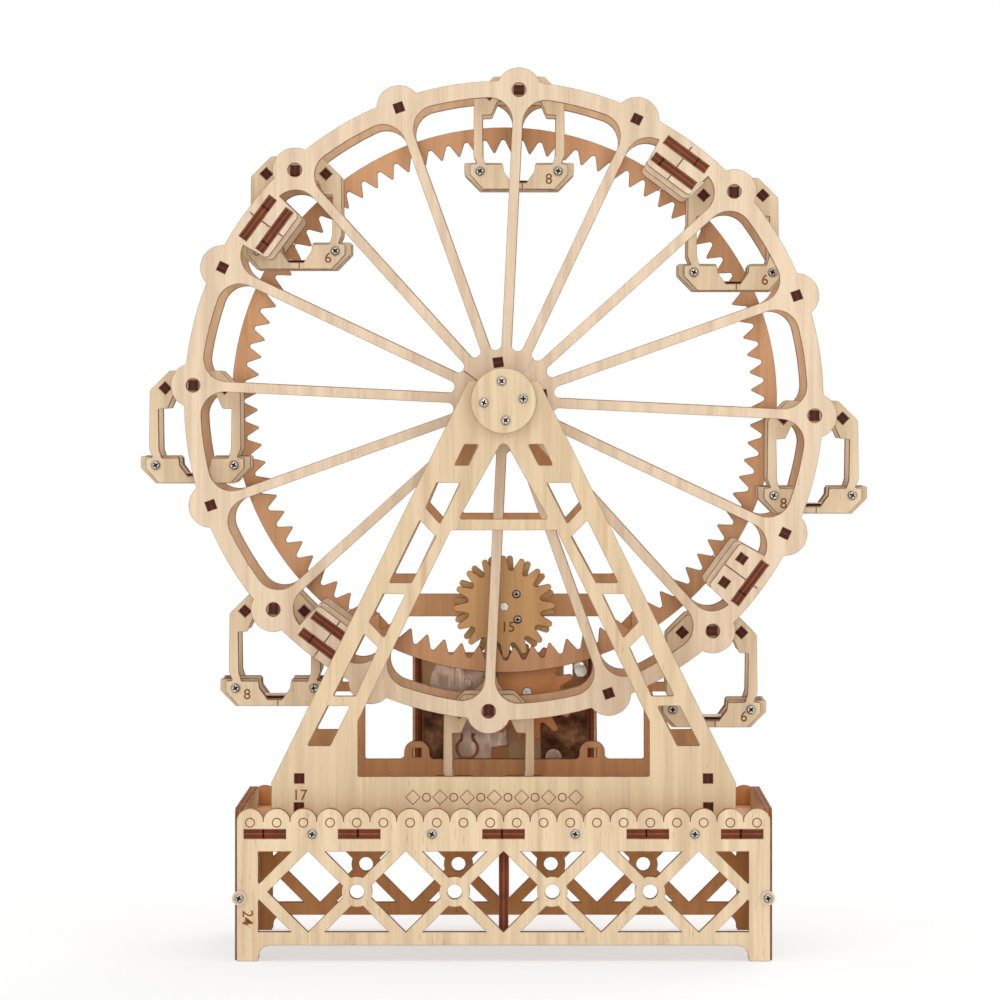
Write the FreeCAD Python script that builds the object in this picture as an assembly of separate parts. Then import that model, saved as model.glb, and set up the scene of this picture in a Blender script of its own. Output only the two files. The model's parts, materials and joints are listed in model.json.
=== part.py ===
import FreeCAD, Part
import math
import os

# Hand-cranked ferris wheel toy, laser-cut from birch plywood sheet.
# Frame of the files: origin on the floor under the middle of the whole toy, crank
# included, +X to the right of the front, +Y from the front towards the crank, +Z up.
# The numbers below are measured from the middle of the base, which lies CENTRE_Y
# in front of that origin.  Millimetres.
# Angles round the wheel are degrees clockwise from the top in the front view,
# which is also the positive sense about +Y.

CENTRE_Y = 20.0

# ---------------------------------------------------------------- sheet and sticks
SHEET = 3.0                 # plywood thickness
STICK = 3.1                 # side of the square tie sticks
KERF = 0.2                  # gap that the laser leaves along a seam
PLAY = 0.05                 # radial clearance of a turning pin

# ---------------------------------------------------------------- base
BASE_HALF_WIDTH = 83.4
BASE_HALF_DEPTH = 44.0
SCALLOP_R = 4.3
SCALLOP_PITCH = 8.34
SCALLOP_Z = 43.45
WINDOW_LOW, WINDOW_HIGH = 9.2, 34.3
LATTICE_Z = 21.75
LATTICE_CELL = 15.27        # half the distance between two lattice rings
LATTICE_BAR = 3.65
RING_OUTER_R, RING_HOLE_R = 4.8, 2.3
LEG_WIDTH = 6.9
SKIRT_Z = 5.0               # underside of the panel between its legs
ARCH_R = 3.6                # round corner between leg and panel
DECK_Z = 38.3
TAB_LENGTH = 13.1
TAB_CENTRES = (-74.6, -45.1, 0.0, 45.1, 74.6)
TAB_SPLIT = 0.6
DECK_BOLT_X = (-59.8, -22.4, 22.4, 59.8)
BOLT_Z = DECK_Z + SHEET / 2
END_PANEL_X = 81.15
END_HALF_LENGTH = BASE_HALF_DEPTH - SHEET
END_BOLT_Z = 19.8
TOWER_TAB_X, TOWER_TAB_LENGTH = 40.0, 12.0

# ---------------------------------------------------------------- towers
HUB_Z = 175.2
TOWER_Y = 33.2              # inner face of each tower
TOWER_FOOT_X, TOWER_SHOULDER_Z = 73.0, 55.1
TOWER_SLOPE = 0.4946
HORN_TOP_Z = 181.5
BOSS_R = 8.0
LOWER_OPENING = ((16.6, 134.5), (45.8, 74.5), (45.8, 57.1))
BEAM_LOW, BEAM_HIGH = 104.0, 111.4
TIE_HOLES = ((64.2, 56.5), (64.3, 47.4))
LUG_X, LUG_Z, LUG_HALF, LUG_TOP = 28.8, 59.2, 4.2, 63.0
LEG_WINDOWS = (
    ((12.3, 161.5), (7.75, 161.5), (11.0, 154.9), (15.5, 154.9)),
    ((21.1, 149.4), (13.5, 149.4), (20.0, 136.5), (24.5, 141.5)),
    ((26.3, 137.7), (21.2, 132.4), (29.0, 118.0), (36.0, 118.0)),
    ((37.8, 114.5), (30.9, 114.5), (37.6, 100.7), (42.3, 105.7)),
    ((43.8, 101.9), (39.5, 97.7), (46.5, 82.4), (53.6, 82.4)),
    ((55.3, 79.3), (48.3, 79.3), (54.5, 66.8), (61.7, 66.8)),
)

# ---------------------------------------------------------------- wheel
RIM_Y = 18.0                # inner face of each rim plate
PIVOT_R = 98.75             # circle of the gondola pivots and the rim ties
RIM_INNER_R, RIM_OUTER_R = 96.3, 101.5
LOBE_R = 7.1
SPOKE_WIDTH = 3.2
SPOKES = 16
SPOKE_STEP = 360.0 / SPOKES
PIVOT_ANGLE = 2.8           # first gondola pivot, then every 45 degrees
TIE_ANGLE = PIVOT_ANGLE + SPOKE_STEP
SEAM_ANGLE = TIE_ANGLE + SPOKE_STEP / 2
WINDOW_FILLET_R = 7.5
NOTCH_BOTTOM_R = 16.2
PIVOT_HOLE_R = 2.25
HUB_TIE_R, HUB_TIE_ANGLE = 12.2, -8.45
HUB_BOLT_R, HUB_BOLT_ANGLE = 6.2, -6.0
EAR_HALF, EAR_FLARE, EAR_INNER_R, EAR_CORNER = 8.5, 1.2, 87.2, 1.5
DOUBLER_HALF, DOUBLER_INNER_R, DOUBLER_OUTER_R = 8.7, 85.6, 100.4
KEY_HALF, KEY_THICK, KEY_RADII = 8.1, 3.0, (97.2, 90.6)
KEY_SLITS = (4.05, -4.95)   # where the end of each key is slit
KEY_REACH = 0.5             # how far a key stands out behind its doubler
PEG_OFFSET = 4.7            # the lower right joint has two pegs in place of a key
PEG_SEAM = 1
SPACER_R, COVER_R = 9.8, 10.3
SPACERS = 4
AXIAL_PLAY = 0.2

# ---------------------------------------------------------------- gear train
MODULE = 1.875
RING_TEETH, PINION_TEETH, OUTPUT_TEETH = 88, 16, 15
RING_OUTER = 88.9
DOWEL_R, DOWEL_CIRCLE_R = 0.8, 86.8
PINION_Z = HUB_Z - MODULE * (RING_TEETH - PINION_TEETH) / 2
PINION_Y = RIM_Y + SHEET + 0.4
PINION_PHASE = -1.5
TRANSFER_SHIFT = 8.0
OUTPUT_X = 7.4
OUTPUT_DISTANCE = MODULE * (PINION_TEETH + OUTPUT_TEETH) / 2
OUTPUT_Z = PINION_Z - math.sqrt(OUTPUT_DISTANCE ** 2 - OUTPUT_X ** 2)
AXLE_R = 1.25
ARBOR_R = 1.5

# ---------------------------------------------------------------- movement
BOARD_Y = 38.6              # front face of the wooden movement board
PLATE_THICK = 1.0
BACK_BOARD_Y = 58.2
STUD_SPOT = (16.1, 57.2)    # round stud on the lower right
KEYHOLE_SPOT = (-12.3, 60.3)
HOUSING_TOP_Z = 90.7
HOUSING_FOOT_Z = 53.8
TRAIN_MODULE_1, TRAIN_MODULE_2 = 0.6, 0.5
GREAT_TEETH, SECOND_PINION_TEETH = 36, 12
SECOND_TEETH, FLY_PINION_TEETH = 40, 10
GREAT_PHASE = 0.0
SECOND_DROP = 8.0           # the second arbor lies this far below the crank arbor
FLY_DROP = 1.3
SECOND_ARBOR_R, FLY_ARBOR_R = 1.0, 0.75
CRANK_LENGTH = 30.0
CRANK_Y = BACK_BOARD_Y + SHEET + 1.8
KNOB_R, KNOB_LENGTH = 5.0, 18.0

# ---------------------------------------------------------------- gondolas
GONDOLAS = 8
HANGER_Y = 9.5              # inner face of each hanger plate
CROSS_X, CROSS_DROP = 9.45, 0.9
GONDOLA_SCREW_X, GONDOLA_SCREW_DROP = 12.5, 25.5
BOARD_TOP_DROP, BOARD_BOTTOM_DROP = 23.3, 31.4
HANGER_HALF, TUB_HALF = 15.6, 17.5

Vector = FreeCAD.Vector
ALONG_Y = Vector(0, 1, 0)


# ================================================================ plane outlines
def wire_of(edges):
    """One closed wire from edges that follow one another."""
    return Part.Wire(edges)


def rounded_face(corners):
    """Face in the XZ plane from corners (x, z) or (x, z, radius)."""
    count = len(corners)
    entries, exits, middles = [], [], []
    for index, corner in enumerate(corners):
        here = Vector(corner[0], 0, corner[1])
        before = Vector(corners[index - 1][0], 0, corners[index - 1][1])
        after = Vector(corners[(index + 1) % count][0], 0, corners[(index + 1) % count][1])
        radius = corner[2] if len(corner) > 2 else 0.0
        if radius == 0.0:
            entries.append(here)
            exits.append(here)
            middles.append(None)
            continue
        back = (before - here).normalize()
        ahead = (after - here).normalize()
        half = back.getAngle(ahead) / 2
        setback = radius / math.tan(half)
        bisector = (back + ahead).normalize()
        centre = here + bisector * (radius / math.sin(half))
        entries.append(here + back * setback)
        exits.append(here + ahead * setback)
        middles.append(centre - bisector * radius)
    edges = []
    for index in range(count):
        if middles[index] is not None:
            edges.append(Part.Arc(entries[index], middles[index], exits[index]).toShape())
        start, end = exits[index], entries[(index + 1) % count]
        if start.distanceToPoint(end) > 1e-6:
            edges.append(Part.LineSegment(start, end).toShape())
    return Part.Face(wire_of(edges))


def opposite(corners):
    """The same corners mirrored to the other side, in the order that closes the outline."""
    return [(-corner[0], *corner[1:]) for corner in reversed(corners)]


def sheet(corners, y, thickness=SHEET):
    """Plate cut to an XZ outline, standing from y towards +Y."""
    plate = rounded_face(corners).extrude(Vector(0, thickness, 0))
    plate.translate(Vector(0, y, 0))
    return plate


def rod(x, z, radius, y_start, y_end):
    return Part.makeCylinder(radius, y_end - y_start, Vector(x, y_start, z), ALONG_Y)


def block(x_low, x_high, y_low, y_high, z_low, z_high):
    size = (x_high - x_low, y_high - y_low, z_high - z_low)
    return Part.makeBox(*size, Vector(x_low, y_low, z_low))


def stick(x, z, side, y_start, y_end, turn=0.0):
    """Square stick along Y, centred on (x, z) and turned by an angle about itself."""
    half = side / 2
    bar = block(x - half, x + half, y_start, y_end, z - half, z + half)
    bar.rotate(Vector(x, 0, z), ALONG_Y, turn)
    return bar


def turned(shape, angle, x=0.0, z=HUB_Z):
    """Copy of a shape turned clockwise, seen from the front, about an axis along Y."""
    copy = shape.copy()
    copy.rotate(Vector(x, 0, z), ALONG_Y, angle)
    return copy


def moved(shape, x=0.0, y=0.0, z=0.0):
    copy = shape.copy()
    copy.translate(Vector(x, y, z))
    return copy


def mirrored_x(shape):
    return shape.mirror(Vector(0, 0, 0), Vector(1, 0, 0))


def mirrored_y(shape):
    return shape.mirror(Vector(0, 0, 0), Vector(0, 1, 0))


def polar(radius, angle, across=0.0, x=0.0, z=HUB_Z):
    """Point at a radius and clockwise angle, and a distance across in the turning sense."""
    a = math.radians(angle)
    east = x + radius * math.sin(a) + across * math.cos(a)
    north = z + radius * math.cos(a) - across * math.sin(a)
    return Vector(east, 0, north)


def cut(shape, tools):
    return shape.cut(Part.Compound(tools)) if tools else shape


def fused(shapes):
    whole = shapes[0].multiFuse(shapes[1:]) if len(shapes) > 1 else shapes[0]
    return whole.removeSplitter()


def save(node, shapes):
    """Write one node: its separate solids in one STEP file."""
    solids = []
    for shape in shapes:
        solids.extend(moved(solid, y=-CENTRE_Y) for solid in shape.Solids)
    whole = solids[0] if len(solids) == 1 else Part.Compound(solids)
    whole.exportStep(os.path.join("parts", node + ".step"))


def screw(x, z, y_face, length, head_r=1.55, shank_r=0.95, head_height=1.1):
    """Pan-head screw along Y whose head stands on y_face; a negative length points to -Y."""
    sign = 1.0 if length > 0 else -1.0
    shank = rod(x, z, shank_r, min(y_face, y_face + length), max(y_face, y_face + length))
    top = y_face - sign * head_height
    head = rod(x, z, head_r, min(y_face, top), max(y_face, top))
    crown = [edge for edge in head.Edges if abs(edge.CenterOfMass.y - top) < 1e-6]
    head = head.makeFillet(head_height * 0.6, crown[:1])
    return head.fuse(shank).removeSplitter()


# ================================================================ base
def lattice(cells):
    """Solids of the zigzag bars and rings that fill a window of 2 x cells half cells."""
    reach = LATTICE_CELL / math.cos(math.radians(45))
    solids = []
    for index in range(-cells, cells + 1, 2):
        ring_x = index * LATTICE_CELL
        for angle in (45, 135, 225, 315):
            bar = block(-LATTICE_BAR / 2, LATTICE_BAR / 2, 0, SHEET, 0, reach + 2)
            bar.rotate(Vector(0, 0, 0), ALONG_Y, angle)
            solids.append(moved(bar, x=ring_x, z=LATTICE_Z))
        if abs(index) < cells:
            solids.append(rod(ring_x, LATTICE_Z, RING_OUTER_R, 0, SHEET))
    holes = [rod(index * LATTICE_CELL, LATTICE_Z, RING_HOLE_R, -1, SHEET + 1)
             for index in range(-cells + 2, cells, 2)]
    return solids, holes


def panel(half_width, scallops, cells):
    """Lattice panel in the XZ plane, from y = 0 to one sheet thickness."""
    window_half = cells * LATTICE_CELL + 0.3
    leg = half_width - LEG_WIDTH
    left = [(-half_width, SCALLOP_Z), (-half_width, 0), (-leg - 0.5, 0), (-leg, 0.8, 0.3),
            (-leg, SKIRT_Z, ARCH_R)]
    body = sheet(left + opposite(left), 0)
    crest = [rod((index - (scallops - 1) / 2) * SCALLOP_PITCH, SCALLOP_Z, SCALLOP_R, 0, SHEET)
             for index in range(scallops)]
    bounds = block(-half_width, half_width, -1, SHEET + 1, 0, SCALLOP_Z + SCALLOP_R + 1)
    body = fused([body] + crest).common(bounds)
    window = block(-window_half, window_half, -1, SHEET + 1, WINDOW_LOW, WINDOW_HIGH)
    inside = block(-window_half, window_half, 0, SHEET, WINDOW_LOW, WINDOW_HIGH)
    bars, holes = lattice(cells)
    filling = fused(bars).common(inside)
    return cut(fused([body.cut(window), filling]), holes)


def base_panel():
    """Front panel of the base, outer face at y = 0 of its own, with slots and bolt holes."""
    half = TAB_LENGTH / 2
    cutters = [block(x - half, x + half, -1, SHEET + 1, DECK_Z, DECK_Z + SHEET) for x in TAB_CENTRES]
    cutters += [rod(x, BOLT_Z, 1.0, -1, SHEET + 1) for x in DECK_BOLT_X]
    edge_bolt_x = END_PANEL_X + SHEET / 2
    cutters += [rod(side * edge_bolt_x, END_BOLT_Z, 1.0, -1, SHEET + 1) for side in (-1, 1)]
    return cut(panel(BASE_HALF_WIDTH, 20, 5), cutters)


def tee_slot(x, z, y_edge, depth, nut_side=4.1, nut_thick=1.7, along_z=True):
    """Cutter for a bolt and its square nut, let into the edge of a sheet at y_edge."""
    sign = 1.0 if depth > 0 else -1.0
    half_sheet = SHEET / 2 + 1
    y_low, y_high = sorted((y_edge - sign, y_edge + depth))
    nut_low, nut_high = sorted((y_edge + depth * 0.55, y_edge + depth * 0.55 + sign * nut_thick))
    if along_z:
        slot = block(x - 1.0, x + 1.0, y_low, y_high, z - half_sheet, z + half_sheet)
        nut = block(x - nut_side / 2, x + nut_side / 2, nut_low, nut_high, z - half_sheet, z + half_sheet)
    else:
        slot = block(x - half_sheet, x + half_sheet, y_low, y_high, z - 1.0, z + 1.0)
        nut = block(x - half_sheet, x + half_sheet, nut_low, nut_high, z - nut_side / 2, z + nut_side / 2)
    return [slot, nut]


def deck():
    """Deck plate: tabs in both long panels, tee slots for its bolts, slots for the towers."""
    inner = BASE_HALF_DEPTH - SHEET
    top = DECK_Z + SHEET
    plate = block(-END_PANEL_X, END_PANEL_X, -inner, inner, DECK_Z, top)
    half = TAB_LENGTH / 2
    split = TAB_SPLIT / 2
    solids = [plate]
    for x in TAB_CENTRES:
        middle = x - 0.45
        for low, high in ((x - half + 0.1, middle - split), (middle + split, x + half - 0.1)):
            for y_low, y_high in ((-inner - SHEET + 0.15, -inner), (inner, inner + SHEET - 0.15)):
                solids.append(block(low, high, y_low, y_high, DECK_Z, top))
    cutters = []
    for x in DECK_BOLT_X:
        cutters += tee_slot(x, BOLT_Z, -inner, 9.0)
        cutters += tee_slot(x, BOLT_Z, inner, -9.0)
    length = TOWER_TAB_LENGTH / 2
    for side in (-1, 1):
        for y in (-TOWER_Y - SHEET, TOWER_Y):
            centre = side * TOWER_TAB_X
            cutters.append(block(centre - length, centre + length, y, y + SHEET, DECK_Z - 1, top + 1))
    return cut(fused(solids), cutters)


def end_panels():
    """The two short panels, scalloped and braced like the long ones."""
    flat = panel(END_HALF_LENGTH, 10, 2)
    flat.rotate(Vector(0, 0, 0), Vector(0, 0, 1), 90)
    ends = []
    for x in (-END_PANEL_X, END_PANEL_X + SHEET):
        end = moved(flat, x=x)
        centre = x - SHEET / 2
        slots = tee_slot(centre, END_BOLT_Z, -END_HALF_LENGTH, 8.0, along_z=False)
        slots += tee_slot(centre, END_BOLT_Z, END_HALF_LENGTH, -8.0, along_z=False)
        ends.append(cut(end, slots))
    return ends


def centre_rib():
    """Upright rib under the middle of the deck, arched to its two feet."""
    reach = BASE_HALF_DEPTH - SHEET - 0.05
    low, high = WINDOW_LOW, DECK_Z
    rib = rounded_face([(-reach, low), (-reach + 9, low), (-reach + 16, 26, 6), (reach - 16, 26, 6),
                        (reach - 9, low), (reach, low), (reach, high), (-reach, high)])
    rib = rib.extrude(Vector(0, SHEET, 0))
    rib.rotate(Vector(0, 0, 0), Vector(0, 0, 1), 90)
    return moved(rib, x=SHEET / 2)


def bolt_set():
    """Bolts, birch washers and square nuts that hold the panels to the deck and the ends."""
    solids = []
    inner = BASE_HALF_DEPTH - SHEET
    for sign in (-1, 1):
        face = sign * BASE_HALF_DEPTH
        for x in DECK_BOLT_X:
            solids.append(screw(x, BOLT_Z, face, -sign * 10.5))
            y = sign * (inner - 9.0 * 0.55)
            nut = block(x - 2.0, x + 2.0, min(y, y - sign * 1.6), max(y, y - sign * 1.6), DECK_Z + 0.1,
                        DECK_Z + SHEET - 0.1)
            solids.append(nut.cut(rod(x, BOLT_Z, 0.95, y - 3, y + 3)))
        for side in (-1, 1):
            x = side * (END_PANEL_X + SHEET / 2)
            washer = rod(x, END_BOLT_Z, 2.25, min(face, face + sign * 0.6), max(face, face + sign * 0.6))
            solids.append(washer.cut(rod(x, END_BOLT_Z, 0.95, face - 2, face + 2)))
            solids.append(screw(x, END_BOLT_Z, face + sign * 0.6, -sign * 10.2))
            y = sign * (inner - 8.0 * 0.55)
            nut = block(x - 1.4, x + 1.4, min(y, y - sign * 1.6), max(y, y - sign * 1.6), END_BOLT_Z - 2.0,
                        END_BOLT_Z + 2.0)
            solids.append(nut.cut(rod(x, END_BOLT_Z, 0.95, y - 3, y + 3)))
    return solids


# ================================================================ towers
def tower(y, rear):
    """A-shaped tower plate with an open cradle for the hub at its head."""
    shoulder = (TOWER_FOOT_X, TOWER_SHOULDER_Z)
    horn_x = TOWER_FOOT_X - TOWER_SLOPE * (HORN_TOP_Z - TOWER_SHOULDER_Z)
    foot_z = DECK_Z + SHEET
    left = [(-TOWER_FOOT_X, foot_z), (-shoulder[0], shoulder[1]), (-horn_x - 0.6, HORN_TOP_Z, 1.0),
            (-BOSS_R - PLAY, HORN_TOP_Z, 0.8), (-BOSS_R - PLAY, HUB_Z)]
    plate = sheet(left + opposite(left), y)
    solids = [plate]
    for side in (-1, 1):
        centre = side * TOWER_TAB_X
        half = TOWER_TAB_LENGTH / 2 - 0.05
        solids.append(block(centre - half, centre + half, y, y + SHEET, DECK_Z, foot_z))
    plate = fused(solids)
    through = (y - 1, SHEET + 2)
    cutters = [rod(0, HUB_Z, BOSS_R + PLAY, y - 1, y + SHEET + 1)]
    cutters.append(sheet([(0, 163.3, 1.6), (14.1, 138.0, 0.6), (-14.1, 138.0, 0.6)], *through))
    opening = [(x, z, 0.6) for x, z in LOWER_OPENING]
    lower = sheet(opening + opposite(opening), *through)
    if rear:
        lower = lower.cut(block(-60, 60, y - 2, y + SHEET + 2, BEAM_LOW, BEAM_HIGH))
    cutters.append(lower)
    for window in LEG_WINDOWS[1:] if rear else LEG_WINDOWS:
        pane = sheet([(x, z, 0.4) for x, z in window], *through)
        cutters += [pane, mirrored_x(pane)]
    for x, z in TIE_HOLES:
        cutters += [stick(side * x, z, STICK, y - 1, y + SHEET + 1) for side in (-1, 1)]
    plate = cut(plate, cutters)
    if rear:
        plate = rear_fittings(plate, y)
    return plate


def rear_fittings(plate, y):
    """Lugs that hold the housing sides, and the bearing of the pinion axle."""
    for side in (-1, 1):
        x = side * LUG_X
        top = LOWER_OPENING[2][1]
        lug = sheet([(x - LUG_HALF - 2.2, top - 1), (x - LUG_HALF - 2.2, top), (x - LUG_HALF, top, 1.5),
                     (x - LUG_HALF, LUG_TOP, 3.6), (x + LUG_HALF, LUG_TOP, 3.6),
                     (x + LUG_HALF, top, 1.5), (x + LUG_HALF + 2.2, top), (x + LUG_HALF + 2.2, top - 1)], y)
        plate = plate.fuse(lug)
    plate = plate.removeSplitter()
    cutters = [stick(side * LUG_X, LUG_Z, SHEET, y - 1, y + SHEET + 1) for side in (-1, 1)]
    cutters.append(rod(0, PINION_Z, AXLE_R + PLAY, y - 1, y + SHEET + 1))
    return cut(plate, cutters)


def tower_ties():
    end = TOWER_Y + SHEET
    return [stick(side * x, z, STICK, -end + 0.3, end - 0.3) for x, z in TIE_HOLES for side in (-1, 1)]


# ================================================================ wheel
def spoke_window(angle):
    """Cutter between two spokes: round at the hub, filleted at the rim."""
    half_step = math.radians(SPOKE_STEP / 2)
    half = SPOKE_WIDTH / 2
    notch_centre = (NOTCH_BOTTOM_R - half) / (1 - math.sin(half_step))
    notch_r = notch_centre - NOTCH_BOTTOM_R
    fillet_centre = RIM_INNER_R - WINDOW_FILLET_R
    off = math.asin((half + WINDOW_FILLET_R) / fillet_centre)
    rim_half = math.degrees(half_step - off)
    along = fillet_centre * math.cos(off)
    degrees_half = SPOKE_STEP / 2
    points = {}
    for side in (-1, 1):
        spoke = angle + side * degrees_half
        points[side, "hub"] = polar(notch_centre * math.cos(half_step), spoke, -side * half)
        points[side, "spoke"] = polar(along, spoke, -side * half)
        points[side, "rim"] = polar(RIM_INNER_R, angle + side * rim_half)
        centre = polar(fillet_centre, angle + side * rim_half)
        outward = (polar(1.0, angle + side * (rim_half + degrees_half) / 2 + side * 22.5, z=0.0))
        points[side, "fillet"] = centre + outward.normalize() * WINDOW_FILLET_R
    notch_bottom = polar(NOTCH_BOTTOM_R, angle)
    rim_top = polar(RIM_INNER_R, angle)
    edges = [
        Part.LineSegment(points[-1, "hub"], points[-1, "spoke"]).toShape(),
        Part.Arc(points[-1, "spoke"], points[-1, "fillet"], points[-1, "rim"]).toShape(),
        Part.Arc(points[-1, "rim"], rim_top, points[1, "rim"]).toShape(),
        Part.Arc(points[1, "rim"], points[1, "fillet"], points[1, "spoke"]).toShape(),
        Part.LineSegment(points[1, "spoke"], points[1, "hub"]).toShape(),
        Part.Arc(points[1, "hub"], notch_bottom, points[-1, "hub"]).toShape(),
    ]
    return Part.Face(wire_of(edges)).extrude(Vector(0, SHEET + 2, 0)), notch_r


def tangent_pad(angle, half, r_low, r_high, y, thickness, corner=0.0):
    """Rectangular pad across a seam, from one radius to another."""
    pad = sheet([(-half, HUB_Z + r_low, corner), (half, HUB_Z + r_low, corner),
                 (half, HUB_Z + r_high, corner), (-half, HUB_Z + r_high, corner)], y, thickness)
    return turned(pad, angle)


def quarter(y, radius, seam_before):
    """Wedge of a quarter turn clockwise from a seam, less half the kerf on each side."""
    reach = radius * 1.5
    gap = KERF / 2
    wedge = block(gap, reach, y, y + SHEET, HUB_Z + gap, HUB_Z + reach)
    return turned(wedge, seam_before)


def key_cutters(y, thickness):
    """Slots for the splice keys; one joint has two peg holes in place of its inner slot."""
    cutters = []
    for seam in range(4):
        angle = SEAM_ANGLE + 90 * seam
        for radius in KEY_RADII:
            if seam == PEG_SEAM and radius == KEY_RADII[1]:
                for across in (-PEG_OFFSET, PEG_OFFSET):
                    point = polar(radius, angle, across)
                    cutters.append(stick(point.x, point.z, SHEET, y, y + thickness, angle))
                continue
            low, high = radius - KEY_THICK / 2, radius + KEY_THICK / 2
            cutters.append(tangent_pad(angle, KEY_HALF, low, high, y, thickness))
    return cutters


def rim_quadrants(y):
    """Four quarter plates of one rim: hub web, spokes, rim band and lobes."""
    first_seam = SEAM_ANGLE - 90
    blank = rod(0, HUB_Z, RIM_OUTER_R, y, y + SHEET)
    window, _ = spoke_window(0.0)
    window.translate(Vector(0, y - 1, 0))
    wide = EAR_HALF + EAR_FLARE
    ear = [(-EAR_HALF, HUB_Z + EAR_INNER_R, EAR_CORNER), (EAR_HALF, HUB_Z + EAR_INNER_R, EAR_CORNER),
           (wide, HUB_Z + RIM_INNER_R), (wide, HUB_Z + RIM_OUTER_R), (-wide, HUB_Z + RIM_OUTER_R),
           (-wide, HUB_Z + RIM_INNER_R)]
    seam_window = window.cut(sheet(ear, y - 1, SHEET + 2))
    quadrant = blank.common(quarter(y, RIM_OUTER_R, first_seam))
    cutters = [turned(seam_window, first_seam), turned(seam_window, first_seam + 90)]
    cutters += [turned(window, first_seam + SPOKE_STEP * step) for step in (1, 2, 3)]
    lobes = []
    for step in range(4):
        angle = first_seam + SPOKE_STEP * (step + 0.5)
        centre = polar(PIVOT_R, angle)
        lobes.append(rod(centre.x, centre.z, LOBE_R, y, y + SHEET))
        if step % 2 == 0:
            cutters.append(rod(centre.x, centre.z, PIVOT_HOLE_R, y - 1, y + SHEET + 1))
        else:
            cutters.append(stick(centre.x, centre.z, STICK, y - 1, y + SHEET + 1, angle))
    tie = polar(HUB_TIE_R, HUB_TIE_ANGLE)
    cutters.append(stick(tie.x, tie.z, STICK, y - 1, y + SHEET + 1, HUB_TIE_ANGLE))
    bolt = polar(HUB_BOLT_R, HUB_BOLT_ANGLE)
    cutters.append(rod(bolt.x, bolt.z, 1.0, y - 1, y + SHEET + 1))
    quadrant = cut(fused([quadrant] + lobes), cutters)
    keys = key_cutters(y - 1, SHEET + 2)
    return [cut(turned(quadrant, 90 * step), keys) for step in range(4)]


def splice_doublers(y):
    keys = key_cutters(y - 1, SHEET + 2)
    pads = []
    for seam in range(4):
        angle = SEAM_ANGLE + 90 * seam
        pad = tangent_pad(angle, DOUBLER_HALF, DOUBLER_INNER_R, DOUBLER_OUTER_R, y, SHEET, 1.8)
        pads.append(cut(pad, keys))
    return pads


def splice_keys(y_low, y_high):
    """Keys through a rim and its doubler; the end in the rim is slit into two tabs."""
    keys = []
    thin = 0.08             # a key is this much smaller all round than its slot
    slit_y = y_low - 0.5 if y_low < 0 else y_high - 1.5
    for seam in range(4):
        angle = SEAM_ANGLE + 90 * seam
        for radius, slit in zip(KEY_RADII, KEY_SLITS):
            if seam == PEG_SEAM and radius == KEY_RADII[1]:
                for across in (-PEG_OFFSET, PEG_OFFSET):
                    point = polar(radius, angle, across)
                    keys.append(stick(point.x, point.z, SHEET - 2 * thin, y_low, y_high, angle))
                continue
            low, high = radius - KEY_THICK / 2 + thin, radius + KEY_THICK / 2 - thin
            key = tangent_pad(angle, KEY_HALF - thin, low, high, y_low, y_high - y_low)
            gap = block(slit - 0.25, slit + 0.25, slit_y, slit_y + 2, HUB_Z + low - 1, HUB_Z + high + 1)
            keys.append(key.cut(turned(gap, angle)))
    return keys


def wheel_ties():
    """Sticks that join the two rims: eight at the rim and four round the hub."""
    end = RIM_Y + SHEET - 0.3
    ties = []
    for step in range(GONDOLAS):
        angle = TIE_ANGLE + 45 * step
        point = polar(PIVOT_R, angle)
        ties.append(stick(point.x, point.z, STICK - 0.02, -end, end, angle))
    for step in range(4):
        angle = HUB_TIE_ANGLE + 90 * step
        point = polar(HUB_TIE_R, angle)
        ties.append(stick(point.x, point.z, STICK - 0.02, -end, end, angle))
    return ties


def hub_spots():
    return [polar(HUB_BOLT_R, HUB_BOLT_ANGLE + 90 * step) for step in range(4)]


def hub_stack(sign):
    """Spacer discs and the boss that turns in the tower's cradle, on one side."""
    start = RIM_Y + SHEET
    layers = []
    for step in range(SPACERS):
        low = start + step * SHEET
        layers.append((SPACER_R, low, low + SHEET))
    boss_low = start + SPACERS * SHEET
    layers.append((BOSS_R, boss_low, TOWER_Y + SHEET + AXIAL_PLAY))
    discs = []
    for radius, low, high in layers:
        disc = rod(0, HUB_Z, radius, low, high)
        holes = [rod(spot.x, spot.z, 1.0, low - 1, high + 1) for spot in hub_spots()]
        discs.append(cut(disc, holes))
    return discs if sign > 0 else [mirrored_y(disc) for disc in discs]


def hub_cover(sign):
    low = TOWER_Y + SHEET + AXIAL_PLAY
    disc = rod(0, HUB_Z, COVER_R, low, low + SHEET)
    disc = cut(disc, [rod(spot.x, spot.z, 1.0, low - 1, low + SHEET + 1) for spot in hub_spots()])
    return disc if sign > 0 else mirrored_y(disc)


def hub_bolts(sign):
    face = TOWER_Y + SHEET + AXIAL_PLAY + SHEET
    nut_high = RIM_Y
    solids = []
    for spot in hub_spots():
        solids.append(screw(spot.x, spot.z, face, -(face - RIM_Y + 2.4)))
        nut = rod(spot.x, spot.z, 1.9, nut_high - 1.6, nut_high)
        solids.append(nut.cut(rod(spot.x, spot.z, 0.95, nut_high - 3, nut_high + 1)))
    return solids if sign > 0 else [mirrored_y(solid) for solid in solids]


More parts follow.
